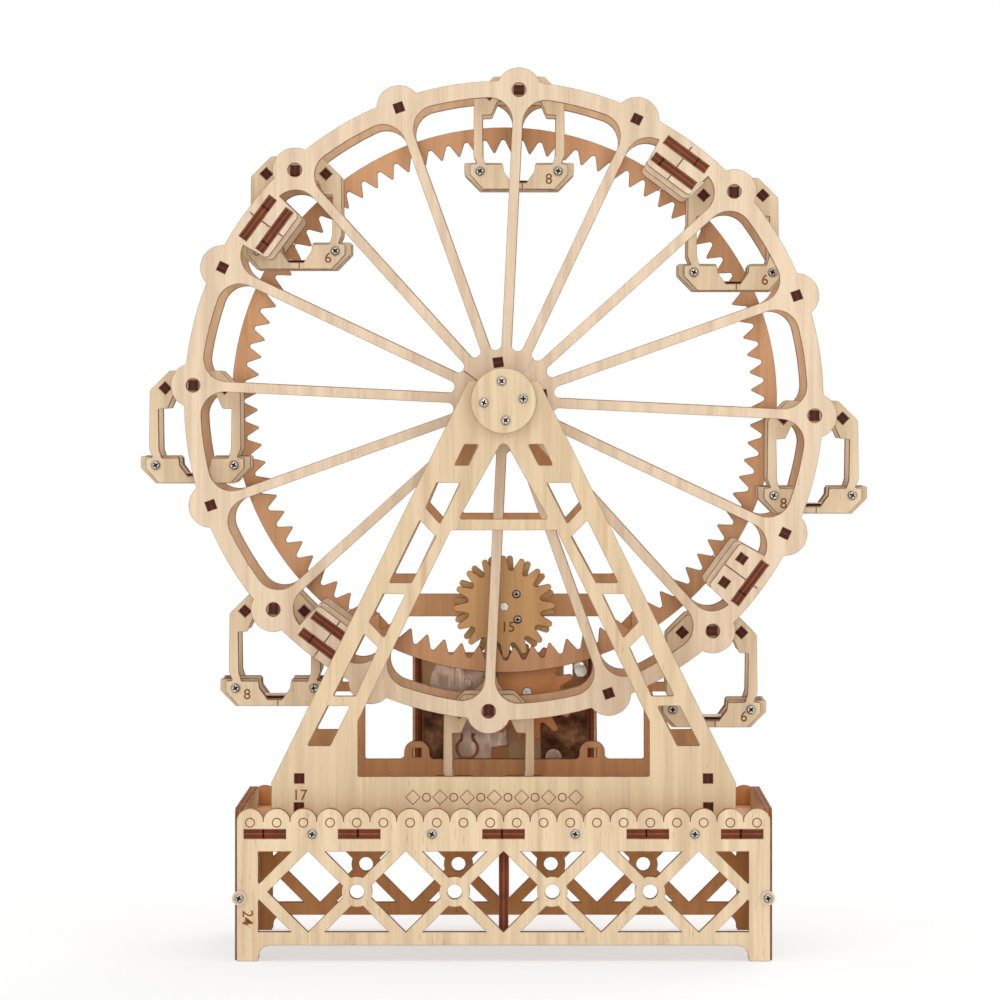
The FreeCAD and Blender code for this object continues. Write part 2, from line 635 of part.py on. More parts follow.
# ================================================================ wooden gears
def gear_face(teeth, root, flank, tip_r, valley_r, phase, x=0.0, z=HUB_Z):
    """Outline of a gear.  root and flank are (radius, half width) of a tooth."""
    edges = []
    step = 360.0 / teeth
    for index in range(teeth):
        a = phase + step * index
        root_a = polar(root[0], a, -root[1], x, z)
        flank_a = polar(flank[0], a, -flank[1], x, z)
        tip = polar(tip_r, a, 0.0, x, z)
        flank_b = polar(flank[0], a, flank[1], x, z)
        root_b = polar(root[0], a, root[1], x, z)
        valley = polar(valley_r, a + step / 2, 0.0, x, z)
        following = polar(root[0], a + step, -root[1], x, z)
        edges.append(Part.LineSegment(root_a, flank_a).toShape())
        edges.append(Part.Arc(flank_a, tip, flank_b).toShape())
        edges.append(Part.LineSegment(flank_b, root_b).toShape())
        edges.append(Part.Arc(root_b, valley, following).toShape())
    return Part.Face(wire_of(edges))


def wooden_gear(teeth, x, z, y, phase, bore):
    """Finger-toothed plywood gear."""
    pitch_r = MODULE * teeth / 2
    face = gear_face(teeth, (pitch_r - 2.65, 1.7), (pitch_r + 0.6, 1.02), pitch_r + 1.65,
                     pitch_r - 3.0, phase, x, z)
    gear = face.extrude(Vector(0, SHEET, 0))
    gear.translate(Vector(0, y, 0))
    return gear.cut(rod(x, z, bore, y - 1, y + SHEET + 1))


def ring_gear(y):
    """Internal gear in four segments, seams in the middle of a tooth space."""
    pitch_r = MODULE * RING_TEETH / 2
    step = 360.0 / RING_TEETH
    phase = SEAM_ANGLE + step / 2
    inside = gear_face(RING_TEETH, (pitch_r + 1.8, 2.2), (pitch_r - 1.5, 0.45), pitch_r - 1.8,
                       pitch_r + 2.4, phase)
    cavity = inside.extrude(Vector(0, SHEET + 2, 0))
    cavity.translate(Vector(0, y - 1, 0))
    blank = rod(0, HUB_Z, RING_OUTER, y, y + SHEET).cut(cavity)
    blank = cut(blank, dowels(y - 1, y + SHEET + 1, DOWEL_R))
    return [blank.common(quarter(y, RING_OUTER, SEAM_ANGLE + 90 * seam)) for seam in range(4)]


def dowels(y_low, y_high, radius):
    """One dowel in each spoke, through the ring gear into the rear rim."""
    spots = [polar(DOWEL_CIRCLE_R, PIVOT_ANGLE + SPOKE_STEP * index) for index in range(SPOKES)]
    return [rod(spot.x, spot.z, radius, y_low, y_high) for spot in spots]


def pinion_screw_spots():
    return [(3.9, PINION_Z + 4.1), (4.3, PINION_Z - 4.2)]


def drive_pinion():
    gear = wooden_gear(PINION_TEETH, 0, PINION_Z, PINION_Y, PINION_PHASE, AXLE_R)
    sinks = [rod(x, z, 1.3, PINION_Y - 1, PINION_Y + 0.8) for x, z in pinion_screw_spots()]
    sinks += [rod(x, z, 0.7, PINION_Y - 1, PINION_Y + SHEET + 1) for x, z in pinion_screw_spots()]
    return cut(gear, sinks)


def transfer_pinion():
    y = PINION_Y + SHEET
    gear = wooden_gear(PINION_TEETH, 0, PINION_Z, y, PINION_PHASE + TRANSFER_SHIFT, AXLE_R)
    return cut(gear, [rod(x, z, 0.7, y - 1, y + SHEET + 1) for x, z in pinion_screw_spots()])


def pinion_axle():
    """Steel axle, its spacer tube and collar, and the screws that join the two pinions."""
    back = TOWER_Y + SHEET
    axle = rod(0, PINION_Z, AXLE_R, PINION_Y, back + 2.6)
    tube_low = PINION_Y + 2 * SHEET
    tube = rod(0, PINION_Z, 3.2, tube_low, TOWER_Y - AXIAL_PLAY)
    collar = rod(0, PINION_Z, 2.6, back + AXIAL_PLAY, back + 2.4)
    solids = [fused([axle, tube, collar])]
    for x, z in pinion_screw_spots():
        head = rod(x, z, 1.3, PINION_Y, PINION_Y + 0.8)
        solids.append(fused([head, rod(x, z, 0.7, PINION_Y + 0.8, PINION_Y + 2 * SHEET - 0.3)]))
    return solids


def output_phase():
    """Tooth angle of the output gear that meshes with the transfer pinion at rest."""
    line = 180.0 - math.degrees(math.atan2(OUTPUT_X, PINION_Z - OUTPUT_Z))
    step = 360.0 / PINION_TEETH
    teeth_at = PINION_PHASE + TRANSFER_SHIFT
    gap = teeth_at + step * (math.floor((line - teeth_at) / step) + 0.5)
    return line + 180.0 - (gap - line) * PINION_TEETH / OUTPUT_TEETH


# ================================================================ movement
def arbor_spots():
    """Places of the crank, second and fly arbors."""
    distance = TRAIN_MODULE_1 * (GREAT_TEETH + SECOND_PINION_TEETH) / 2
    second_x = OUTPUT_X - math.sqrt(distance ** 2 - SECOND_DROP ** 2)
    second_z = OUTPUT_Z - SECOND_DROP
    distance = TRAIN_MODULE_2 * (SECOND_TEETH + FLY_PINION_TEETH) / 2
    fly_x = second_x - math.sqrt(distance ** 2 - FLY_DROP ** 2)
    fly_z = second_z - FLY_DROP
    return (OUTPUT_X, OUTPUT_Z), (second_x, second_z), (fly_x, fly_z)


def metal_gear(module, teeth, x, z, y_low, y_high, phase):
    """Fine-toothed brass gear."""
    pitch_r = module * teeth / 2
    root = (pitch_r - 1.1 * module, 0.82 * module)
    flank = (pitch_r + 0.45 * module, 0.36 * module)
    face = gear_face(teeth, root, flank, pitch_r + 0.9 * module, pitch_r - 1.3 * module, phase, x, z)
    gear = face.extrude(Vector(0, y_high - y_low, 0))
    gear.translate(Vector(0, y_low, 0))
    return gear


def meshing_phase(driver_teeth, driver_phase, driven_teeth, start, end):
    """Tooth angle of a driven gear at end that meshes with a driver at start."""
    line = math.degrees(math.atan2(end[0] - start[0], end[1] - start[1])) % 360.0
    step = 360.0 / driver_teeth
    gap = driver_phase + step * (math.floor((line - driver_phase) / step) + 0.5)
    return line + 180.0 - (gap - line) * driver_teeth / driven_teeth


def movement_board():
    """Wooden board behind the steel plate that carries the front pivots."""
    (ax, az), (sx, sz), _ = arbor_spots()
    left = -LUG_X + SHEET / 2
    low, high = HOUSING_FOOT_Z, HOUSING_TOP_Z - 0.7
    board = sheet([(-8.1, low), (-4.4, low), (-4.4, 60.5, 0.5), (1.1, 61.6), (1.1, low), (11.9, low),
                   (11.9, 71.0, 1.0), (19.5, 76.5, 1.0), (19.5, high), (left, high), (left, 77.0),
                   (-17.8, 77.0, 1.0), (-17.8, 66.0, 1.0), (-8.1, 66.0, 1.0)], BOARD_Y)
    cutters = [rod(ax, az, ARBOR_R + PLAY, BOARD_Y - 1, BOARD_Y + SHEET + 1)]
    cutters.append(rod(sx, sz, SECOND_ARBOR_R + PLAY, BOARD_Y - 1, BOARD_Y + SHEET + 1))
    return cut(board, cutters)


def movement_front_plate():
    """Plated steel plate with a keyhole slot, a cut corner and a rivet, and a hollow stud."""
    y = BOARD_Y - PLATE_THICK
    low, high = HOUSING_FOOT_Z, 89.0
    plate = sheet([(-17.6, low), (-4.4, low), (-4.4, 60.5, 0.5), (0.8, 61.6), (0.8, 69.0, 1.0),
                   (3.2, 74.0, 1.0), (3.2, high), (-22.4, high), (-24.7, 83.0), (-24.7, 78.5),
                   (-17.6, 78.5, 1.0)], y, PLATE_THICK)
    (ax, az), (sx, sz), _ = arbor_spots()
    x, z = KEYHOLE_SPOT
    ring = rod(x, z, 3.85, y - 1, y + 2).cut(rod(x, z, 3.0, y - 2, y + 3))
    throat = block(x - 2.25, x + 2.25, y - 1, y + 2, z + 2.2, z + 4.9)
    tongue = block(x - 1.4, x + 1.4, y - 2, y + 3, z, z + 6.0)
    keyhole = ring.fuse(throat.cut(rod(x, z, 3.0, y - 2, y + 3))).cut(tongue)
    cutters = [keyhole, rod(ax, az, 3.0, y - 1, y + 2), rod(sx, sz, 2.0, y - 1, y + 2)]
    plate = cut(plate, cutters)
    rivet = rod(-12.1, 82.0, 1.3, y - 0.7, y).fuse(rod(-12.1, 82.0, 1.2, y - 0.7, y))
    stud_x, stud_z = STUD_SPOT
    stud_y = BOARD_Y + 1.4
    stud = fused([rod(stud_x, stud_z, 2.7, stud_y, stud_y + 1.4),
                  rod(stud_x, stud_z, 1.2, stud_y, stud_y + 3.9)])
    stud = stud.cut(rod(stud_x, stud_z, 1.5, stud_y - 1, stud_y + 0.9))
    return [fused([plate, rivet]), stud]


def train_bridges():
    """Two aged brass plates: one holds the fly arbor's front pivot, one closes the right side."""
    _, _, (fx, fz) = arbor_spots()
    y = BOARD_Y + SHEET
    left = sheet([(-26.6, HOUSING_FOOT_Z, 1.0), (-16.8, HOUSING_FOOT_Z, 1.0), (-16.8, 63.0, 1.0),
                  (-13.0, 66.5, 1.0), (-13.0, 75.0, 2.0), (-17.0, 81.0, 1.0), (-26.6, 81.0, 1.0)], y,
                 PLATE_THICK)
    left = fused([left, rod(-21.8, 64.8, 1.2, y - 0.5, y + PLATE_THICK)])
    left = cut(left, [rod(fx, fz, FLY_ARBOR_R + PLAY, y - 1, y + 2)])
    wall = LUG_X - SHEET / 2
    right = sheet([(12.0, HOUSING_FOOT_Z), (wall, HOUSING_FOOT_Z), (wall, 73.0, 1.0), (12.0, 73.0, 1.0)],
                  y + 1.4, PLATE_THICK)
    right = cut(right, [rod(21.0, 61.3, 1.3, y, y + 4), rod(*STUD_SPOT, 1.2, y, y + 4)])
    return [left, right]


def movement_back_board():
    y = BACK_BOARD_Y
    half = LUG_X + SHEET / 2
    low, high = HOUSING_FOOT_Z, HOUSING_TOP_Z
    board = sheet([(-half, low, 1.0), (half, low, 1.0), (half, high, 3.0), (22.6, high, 1.0),
                   (22.6, 81.5, 1.0), (14.6, 81.5, 1.0), (14.6, high, 1.0), (-half, high, 4.0)], y)
    (ax, az), (sx, sz), (fx, fz) = arbor_spots()
    cutters = [rod(ax, az, ARBOR_R + PLAY, y - 1, y + SHEET + 1)]
    cutters.append(rod(sx, sz, SECOND_ARBOR_R + PLAY, y - 1, y + SHEET + 1))
    cutters.append(rod(fx, fz, FLY_ARBOR_R + PLAY, y - 1, y + SHEET + 1))
    cutters += [rod(x, z, 1.0, y - 1, y + SHEET + 1) for x, z, _ in pillar_spots()]
    return cut(board, cutters)


def pillar_spots():
    """Place (x, z) of each pillar and how far its front end stands from the board's back."""
    return [(-23.0, 86.5, 0.0), (25.1, 85.8, -3.6), (3.0, 60.0, 0.0), (23.9, 57.4, 2.4), (-24.2, 65.0, 1.0)]


def movement_pillars():
    """Steel pillars between the movement board and the back board, screwed from behind."""
    front = BOARD_Y + SHEET
    solids = []
    for x, z, gap in pillar_spots():
        pillar = rod(x, z, 2.1, front + gap, BACK_BOARD_Y)
        tail = screw(x, z, BACK_BOARD_Y + SHEET, -(SHEET + 0.1), head_r=1.9)
        solids.append(fused([pillar, tail]))
    return solids


def housing_sides():
    """Side plates: a foot on the deck, a tab through the tower's lug and a long wing."""
    back = TOWER_Y + SHEET
    foot = DECK_Z + SHEET
    wall = END_HALF_LENGTH
    rear = wall - 0.2
    side = rounded_face([(back, foot), (rear, foot), (rear, 49.0, 2.0), (BACK_BOARD_Y - 6, 55.0, 6.0),
                         (BACK_BOARD_Y, 57.5), (BACK_BOARD_Y, HOUSING_TOP_Z), (back, HOUSING_TOP_Z)])
    side = side.extrude(Vector(0, SHEET, 0))
    side.rotate(Vector(0, 0, 0), Vector(0, 0, 1), 90)
    plates = []
    for sign in (-1, 1):
        plate = moved(side, x=sign * LUG_X + SHEET / 2)
        half = SHEET / 2 - 0.03
        x = sign * LUG_X
        tab = block(x - half, x + half, TOWER_Y + 0.2, back, LUG_Z - half, LUG_Z + half)
        plates.append(fused([plate, tab]))
    return plates


def crank_arbor():
    return fused([rod(OUTPUT_X, OUTPUT_Z, ARBOR_R, PINION_Y + SHEET - 0.6, CRANK_Y + SHEET + 1.0),
                  rod(OUTPUT_X, OUTPUT_Z, 2.6, BACK_BOARD_Y + SHEET + AXIAL_PLAY, CRANK_Y),
                  rod(OUTPUT_X, OUTPUT_Z, 2.6, CRANK_Y + SHEET, CRANK_Y + SHEET + 2.0),
                  rod(OUTPUT_X, OUTPUT_Z, 3.0, PINION_Y + 2 * SHEET, PINION_Y + 2 * SHEET + 5.0)])


def output_gear():
    return wooden_gear(OUTPUT_TEETH, OUTPUT_X, OUTPUT_Z, PINION_Y + SHEET, output_phase(), ARBOR_R)


def great_wheel():
    y = BOARD_Y + SHEET + 2.4
    wheel = metal_gear(TRAIN_MODULE_1, GREAT_TEETH, OUTPUT_X, OUTPUT_Z, y, y + 2.0, GREAT_PHASE)
    hub = rod(OUTPUT_X, OUTPUT_Z, 4.0, y - 1.6, y + 4.0)
    holes = []
    for step in range(5):
        spot = polar(6.6, 72 * step, 0.0, OUTPUT_X, OUTPUT_Z)
        holes.append(rod(spot.x, spot.z, 1.8, y - 1, y + 3))
    wheel = cut(wheel, holes)
    return fused([wheel, hub]).cut(rod(OUTPUT_X, OUTPUT_Z, ARBOR_R, y - 3, y + 6))


def second_wheel():
    """Second arbor with its pinion under the great wheel and its own wheel behind."""
    spots = arbor_spots()
    x, z = spots[1]
    y = BOARD_Y + SHEET + 2.4
    pinion_phase = meshing_phase(GREAT_TEETH, GREAT_PHASE, SECOND_PINION_TEETH, spots[0], spots[1])
    wheel_y = y + 7.0
    arbor = rod(x, z, SECOND_ARBOR_R, BOARD_Y + 0.3, BACK_BOARD_Y + SHEET - 0.3)
    pinion = metal_gear(TRAIN_MODULE_1, SECOND_PINION_TEETH, x, z, y - 0.6, y + 2.6, pinion_phase)
    wheel = metal_gear(TRAIN_MODULE_2, SECOND_TEETH, x, z, wheel_y, wheel_y + 1.6, 0.0)
    holes = []
    for step in range(4):
        spot = polar(6.2, 90 * step + 45, 0.0, x, z)
        holes.append(rod(spot.x, spot.z, 2.2, wheel_y - 1, wheel_y + 3))
    return fused([arbor, pinion, rod(x, z, 2.2, y + 2.6, wheel_y + 3.0), cut(wheel, holes)])


def governor_fly():
    """Fast arbor with a pinion and two thin vanes that beat the air."""
    spots = arbor_spots()
    x, z = spots[2]
    wheel_y = BOARD_Y + SHEET + 2.4 + 7.0
    phase = meshing_phase(SECOND_TEETH, 0.0, FLY_PINION_TEETH, spots[1], spots[2])
    arbor = rod(x, z, FLY_ARBOR_R, BOARD_Y + SHEET, BACK_BOARD_Y + SHEET - 0.3)
    pinion = metal_gear(TRAIN_MODULE_2, FLY_PINION_TEETH, x, z, wheel_y - 0.6, wheel_y + 2.2, phase)
    collar = rod(x, z, 1.9, wheel_y - 6.0, wheel_y - 0.6)
    vane = block(x - 5.2, x + 5.2, wheel_y - 5.6, wheel_y - 1.0, z - 0.35, z + 0.35)
    return fused([arbor, pinion, collar, vane])


def crank_arm():
    """Plywood arm that hangs straight down at rest, wider at its two eyes."""
    low = OUTPUT_Z - CRANK_LENGTH
    y = CRANK_Y
    arm = fused([rod(OUTPUT_X, OUTPUT_Z, 6.0, y, y + SHEET), rod(OUTPUT_X, low, 4.6, y, y + SHEET),
                 sheet([(OUTPUT_X - 4.2, OUTPUT_Z - 3.0), (OUTPUT_X - 3.0, low), (OUTPUT_X + 3.0, low),
                        (OUTPUT_X + 4.2, OUTPUT_Z - 3.0)], y)])
    return cut(arm, [rod(OUTPUT_X, OUTPUT_Z, ARBOR_R, y - 1, y + 4), rod(OUTPUT_X, low, 1.2, y - 1, y + 4)])


def crank_pin():
    """Shouldered screw that the knob turns on."""
    low = OUTPUT_Z - CRANK_LENGTH
    end = CRANK_Y + SHEET + 0.6 + KNOB_LENGTH
    return fused([screw(OUTPUT_X, low, end + 0.4, -(end + 0.4 - CRANK_Y), head_r=2.4, shank_r=1.2),
                  rod(OUTPUT_X, low, 2.2, CRANK_Y + SHEET, CRANK_Y + SHEET + 0.4)])


def crank_knob():
    """Turned birch knob, waisted in the middle."""
    low = OUTPUT_Z - CRANK_LENGTH
    y = CRANK_Y + SHEET + 0.6
    end = y + KNOB_LENGTH
    profile = [Vector(1.2 + PLAY, y, 0), Vector(KNOB_R - 0.8, y, 0)]
    shoulder = Vector(KNOB_R, y + 0.8, 0)
    belly = Vector(KNOB_R - 1.1, y + KNOB_LENGTH * 0.45, 0)
    crown = Vector(KNOB_R, end - 2.0, 0)
    edges = [
        Part.LineSegment(profile[0], profile[1]).toShape(),
        Part.LineSegment(profile[1], shoulder).toShape(),
        Part.Arc(shoulder, belly, crown).toShape(),
        Part.Arc(crown, Vector(KNOB_R - 0.6, end - 0.6, 0), Vector(KNOB_R - 2.0, end, 0)).toShape(),
        Part.LineSegment(Vector(KNOB_R - 2.0, end, 0), Vector(1.2 + PLAY, end, 0)).toShape(),
        Part.LineSegment(Vector(1.2 + PLAY, end, 0), profile[0]).toShape(),
    ]
    knob = Part.Face(wire_of(edges)).revolve(Vector(0, 0, 0), ALONG_Y, 360)
    return moved(Part.Solid(knob) if knob.ShapeType == "Shell" else knob, x=OUTPUT_X, z=low)


# ================================================================ gondolas
def hanger_plate(y):
    """One hanger about its pivot at the origin: head, two arms and a notched board."""
    outer = [(-8.0, 4.7, 1.5), (-14.4, -1.7, 1.5), (-14.6, -20.3, 1.0), (-13.4, -BOARD_TOP_DROP + 0.2, 0.3),
             (-HANGER_HALF, -BOARD_TOP_DROP, 0.6), (-HANGER_HALF, -26.6, 0.3),
             (-11.4, -BOARD_BOTTOM_DROP + 0.2, 0.3)]
    plate = sheet(outer + opposite(outer), y)
    inner = [(-6.9, -3.2, 0.6), (-8.8, -7.5, 0.6), (-11.7, -7.6, 0.3), (-11.5, -20.6, 1.0),
             (-10.6, -BOARD_TOP_DROP, 0.5), (-5.1, -BOARD_TOP_DROP, 0.4), (-4.9, -25.6, 0.3),
             (-2.3, -29.2, 0.4)]
    window = sheet(inner + opposite(inner), y - 1, SHEET + 2)
    cutters = [window, stick(0, 0, STICK, y - 1, y + SHEET + 1)]
    for side in (-1, 1):
        cutters.append(stick(side * CROSS_X, -CROSS_DROP, SHEET, y - 1, y + SHEET + 1, 45))
        cutters.append(rod(side * GONDOLA_SCREW_X, -GONDOLA_SCREW_DROP, 0.9, y - 1, y + SHEET + 1))
    return cut(plate, cutters)


def gondola_hangers():
    """Two hanger plates, the pivot stick and the two diamond-set cross sticks."""
    back = hanger_plate(HANGER_Y)
    front = moved(back, y=-2 * HANGER_Y - SHEET)
    pivot_end = RIM_Y + SHEET - 0.3
    cross_end = HANGER_Y + SHEET
    solids = [front, back, stick(0, 0, STICK - 0.02, -pivot_end, pivot_end)]
    for x in (-CROSS_X, CROSS_X):
        solids.append(stick(x, -CROSS_DROP, SHEET - 0.04, -cross_end + 0.2, cross_end - 0.2, 45))
    return solids


def tub_board(y):
    top = -BOARD_TOP_DROP + 0.6
    left = [(-2.4, -29.0, 0.4), (-5.1, -25.5, 0.3), (-5.3, top, 0.4), (-TUB_HALF, top, 0.6),
            (-TUB_HALF, -26.4, 0.5), (-12.6, -BOARD_BOTTOM_DROP, 0.5)]
    board = sheet(left + opposite(left), y)
    return cut(board, [rod(side * GONDOLA_SCREW_X, -GONDOLA_SCREW_DROP, 0.9, y - 1, y + SHEET + 1)
                       for side in (-1, 1)])


def gondola_tub():
    """Side boards, end boards and floor of one cabin."""
    outer = HANGER_Y
    inner = HANGER_Y - SHEET
    solids = [tub_board(-outer), tub_board(inner)]
    solids.append(block(-9.2, 9.2, -inner, inner, -BOARD_BOTTOM_DROP + 0.3, -28.2))
    for side in (-1, 1):
        low, high = sorted((side * 13.6, side * 16.6))
        solids.append(block(low, high, -inner, inner, -26.9, -BOARD_TOP_DROP + 0.6))
        slant = sheet([(side * 16.4, -27.2), (side * 12.3, -BOARD_BOTTOM_DROP + 0.4),
                       (side * 9.4, -BOARD_BOTTOM_DROP + 0.4), (side * 9.4, -29.4), (side * 11.2, -28.2),
                       (side * 13.4, -27.2)], -inner, 2 * inner)
        solids.append(slant)
    return solids


def gondola_screws():
    """Four screws that hold the hangers to the side boards."""
    face = HANGER_Y + SHEET
    solids = []
    for side in (-1, 1):
        for sign in (-1, 1):
            solids.append(screw(side * GONDOLA_SCREW_X, -GONDOLA_SCREW_DROP, sign * face, -sign * 5.6,
                                shank_r=0.9))
    return solids


# ================================================================ the whole toy
def make_base():
    front = moved(base_panel(), y=-BASE_HALF_DEPTH)
    save("base_front_panel", [front])
    save("base_rear_panel", [mirrored_y(front)])
    save("base_end_panels", end_panels())
    save("base_deck", [deck()])
    save("base_centre_rib", [centre_rib()])
    save("base_bolts", bolt_set())


def make_towers():
    save("front_tower", [tower(-TOWER_Y - SHEET, rear=False)])
    save("rear_tower", [tower(TOWER_Y, rear=True)])
    save("tower_ties", tower_ties())


def make_wheel():
    front_y = -RIM_Y - SHEET
    save("front_rim", rim_quadrants(front_y))
    holes = dowels(RIM_Y - 1, RIM_Y + SHEET + 1, DOWEL_R)
    save("rear_rim", [cut(quadrant, holes) for quadrant in rim_quadrants(RIM_Y)])
    save("splice_doublers", splice_doublers(front_y + SHEET) + splice_doublers(RIM_Y - SHEET))
    reach = RIM_Y - SHEET - KEY_REACH
    outer = RIM_Y + SHEET - 0.2
    save("splice_keys", splice_keys(-outer, -reach) + splice_keys(reach, outer))
    save("wheel_ties", wheel_ties())
    save("hub_spacers", hub_stack(-1) + hub_stack(1))
    save("hub_covers", [hub_cover(-1), hub_cover(1)])
    save("hub_bolts", hub_bolts(-1) + hub_bolts(1))
    save("ring_gear", ring_gear(RIM_Y + SHEET))
    save("ring_gear_dowels", dowels(RIM_Y + 0.3, RIM_Y + 2 * SHEET, DOWEL_R - 0.02))


def make_train():
    save("drive_pinion", [drive_pinion()])
    save("transfer_pinion", [transfer_pinion()])
    save("pinion_axle", pinion_axle())
    save("output_gear", [output_gear()])
    save("crank_arbor", [crank_arbor()])
    save("crank_arm", [crank_arm()])
    save("crank_pin", [crank_pin()])
    save("crank_knob", [crank_knob()])


def make_movement():
    save("housing_sides", housing_sides())
    save("movement_board", [movement_board()])
    save("movement_front_plate", movement_front_plate())
    save("movement_back_board", [movement_back_board()])
    save("movement_pillars", movement_pillars())
    save("train_bridges", train_bridges())
    save("great_wheel", [great_wheel()])
    save("second_wheel", [second_wheel()])
    save("governor_fly", [governor_fly()])


def make_gondolas():
    hangers, tub, screws = gondola_hangers(), gondola_tub(), gondola_screws()
    for index in range(GONDOLAS):
        pivot = polar(PIVOT_R, PIVOT_ANGLE + 45 * index)
        name = "gondola_%d_" % (index + 1)
        for part, solids in (("hangers", hangers), ("tub", tub), ("screws", screws)):
            save(name + part, [moved(solid, x=pivot.x, z=pivot.z) for solid in solids])


os.makedirs("parts", exist_ok=True)
make_base()
make_towers()
make_wheel()
make_train()
make_movement()
make_gondolas()
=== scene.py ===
"""Hand cranked ferris wheel toy: laser-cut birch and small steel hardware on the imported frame."""
import json
import math
import random

import bmesh
import bpy
from mathutils import Matrix, Vector
from mathutils.bvhtree import BVHTree


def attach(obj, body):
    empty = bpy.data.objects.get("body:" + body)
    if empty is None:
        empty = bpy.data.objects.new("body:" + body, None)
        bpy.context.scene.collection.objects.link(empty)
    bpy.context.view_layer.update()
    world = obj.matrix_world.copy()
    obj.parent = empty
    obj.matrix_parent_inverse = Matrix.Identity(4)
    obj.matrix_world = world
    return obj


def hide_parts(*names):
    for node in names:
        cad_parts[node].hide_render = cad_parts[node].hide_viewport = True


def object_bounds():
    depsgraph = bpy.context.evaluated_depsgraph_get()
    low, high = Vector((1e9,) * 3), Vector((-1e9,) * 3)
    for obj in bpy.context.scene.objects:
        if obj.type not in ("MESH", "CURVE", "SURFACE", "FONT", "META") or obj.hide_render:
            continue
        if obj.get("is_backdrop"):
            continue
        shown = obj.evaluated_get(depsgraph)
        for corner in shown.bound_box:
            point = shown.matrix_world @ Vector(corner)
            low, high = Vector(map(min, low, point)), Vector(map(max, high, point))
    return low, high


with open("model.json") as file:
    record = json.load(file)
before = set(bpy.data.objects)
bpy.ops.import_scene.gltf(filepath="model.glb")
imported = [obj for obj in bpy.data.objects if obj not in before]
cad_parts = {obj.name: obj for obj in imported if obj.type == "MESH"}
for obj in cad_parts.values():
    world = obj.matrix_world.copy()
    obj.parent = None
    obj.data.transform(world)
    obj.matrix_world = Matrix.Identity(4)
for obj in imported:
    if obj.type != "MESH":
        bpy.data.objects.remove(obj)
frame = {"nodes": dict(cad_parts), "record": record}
CAD_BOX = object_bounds()

bl_info = {
    "name": "Hand cranked ferris wheel toy",
    "version": (1, 0, 0),
    "blender": (4, 5, 0),
    "location": "3D View > Sidebar > Ferris Wheel",
    "description": "Dresses the frame of a plywood ferris wheel toy in laser-cut birch and steel hardware",
    "category": "Object",
}

MM = 0.001
CENTRE_Y = 20.0             # the middle of the base lies this far in front of the frame's middle
SHEET_MOST = 3.3            # nothing thicker than this is cut from the sheet
NARROW = 4.7                # a wall that faces another face this close is near-black: painted shade of the gap, with heavier char
FLAT_LEAST = 1.1            # a face whose sides are all longer than this is a flat one
SAME_SPOT = 0.001           # vertices closer than this are one
A_HAIR = 0.01               # a step off a face, or under it
SQUARE_ON, ASLANT = 0.95, 0.3   # how squarely a veneer, and at least a scorched rim, looks across its sheet
HUB_Z = 175.2
HUB_LEVELS = (21.0, 24.0, 27.0, 30.0, 33.0, 36.4)     # the faces of the hub's discs
PIVOT_R, PIVOT_ANGLE = 98.75, 2.8
PANEL_FACE, END_FACE = 44.0, 84.15
TOWER_FACE = 36.2
HANGER_FACE = 12.5
PINION_FACE, PINION_Z = 21.4, 107.7
CREST_HALF, CREST_SCALLOPS = 83.4, 20
END_CREST_HALF, END_CREST_SCALLOPS = 41.0, 10
CREST_Z, CREST_RING_R, VALLEY_Z, VALLEY_SLIT = 43.35, 1.38, 44.2, 1.1
BAR_Z, BAR_LOW_X, BAR_HIGH_X, BAR_MARKS = 50.6, -28.5, 22.7, 13
BAR_LOZENGE_R, BAR_RING_R = 2.3, 1.25
RING_SIDES = 20
NOTCH_LINE, NOTCH_LINE_X, NOTCH_LINE_DROP = 2.6, 1.0, 30.3
FIGURE_SHARE = 0.72         # height of a figure in the built-in font of size 1

# part numbers with their X and Z; a gondola's are from its pivot
PANEL_NUMBER, TOWER_NUMBER, PINION_NUMBER = ("24", -80.1, 13.7), ("17", -64.0, 51.2), ("15", 1.2, 101.0)
GONDOLA_NUMBERS = {1: ("8", 9.5, -28.1), 2: ("6", 10.1, -28.0), 3: ("8", -9.4, -28.2),
                   4: ("6", 10.2, -27.9), 6: ("8", -8.8, -27.6), 8: ("6", 10.2, -27.8)}

# fasteners: the length of a shank is measured from under the head
HEAD_SIDES, HEAD_ROWS = 28, 6           # faces round a pan head and up its side
SHANK_SIDES, BORE_SIDES = 16, 20
DOME_POWER, DOME_PINCH = 3.2, 0.36      # how late, and by what share, a head narrows towards its top
RECESS_REACH = 1.12                     # length of the cross recess in head radii
SMALL_RECESS = 0.6                      # depth of a small head's recess, as a share of its height
DECK_BOLTS_X, DECK_BOLT_Z, DECK_SHANK, DECK_NUT_Y = (-59.8, -22.4, 22.4, 59.8), 39.8, 10.4, 34.45
SIDE_BOLTS_X, SIDE_BOLT_Z, SIDE_SHANK, SIDE_NUT_Y = (-82.65, 82.65), 19.8, 10.1, 35.0
WASHER_THICK, WASHER_SIDES = 0.6, 28
NUT_THICK, NUT_BORE_R, NUT_BORE_ZONE, NUT_NARROWED = 1.6, 0.95, 1.3, 0.7
HUB_BOLT_R, HUB_BOLT_TURN, HUB_HEAD_Y, HUB_SHANK = 6.2, -6.0, 39.4, 23.7
HUB_NUT_R, HUB_NUT_Y, HUB_NUT_SIDES = 1.9, 16.4, 24
GONDOLA_SCREW_X, GONDOLA_SCREW_DROP, GONDOLA_SHANK, GONDOLA_SHANK_R = 12.5, 25.5, 5.5, 0.88
PINION_SCREWS, PINION_SCREW_Y, PINION_SHANK = ((3.9, 4.1), (4.3, -4.2)), 22.0, 5.0
PINION_HEAD_R, PINION_HEAD_HIGH, PINION_SHANK_R = 1.28, 0.58, 0.68
AXLE_ZONE = 2.0                         # the pinions' axle lies this close to the middle, its screws do not

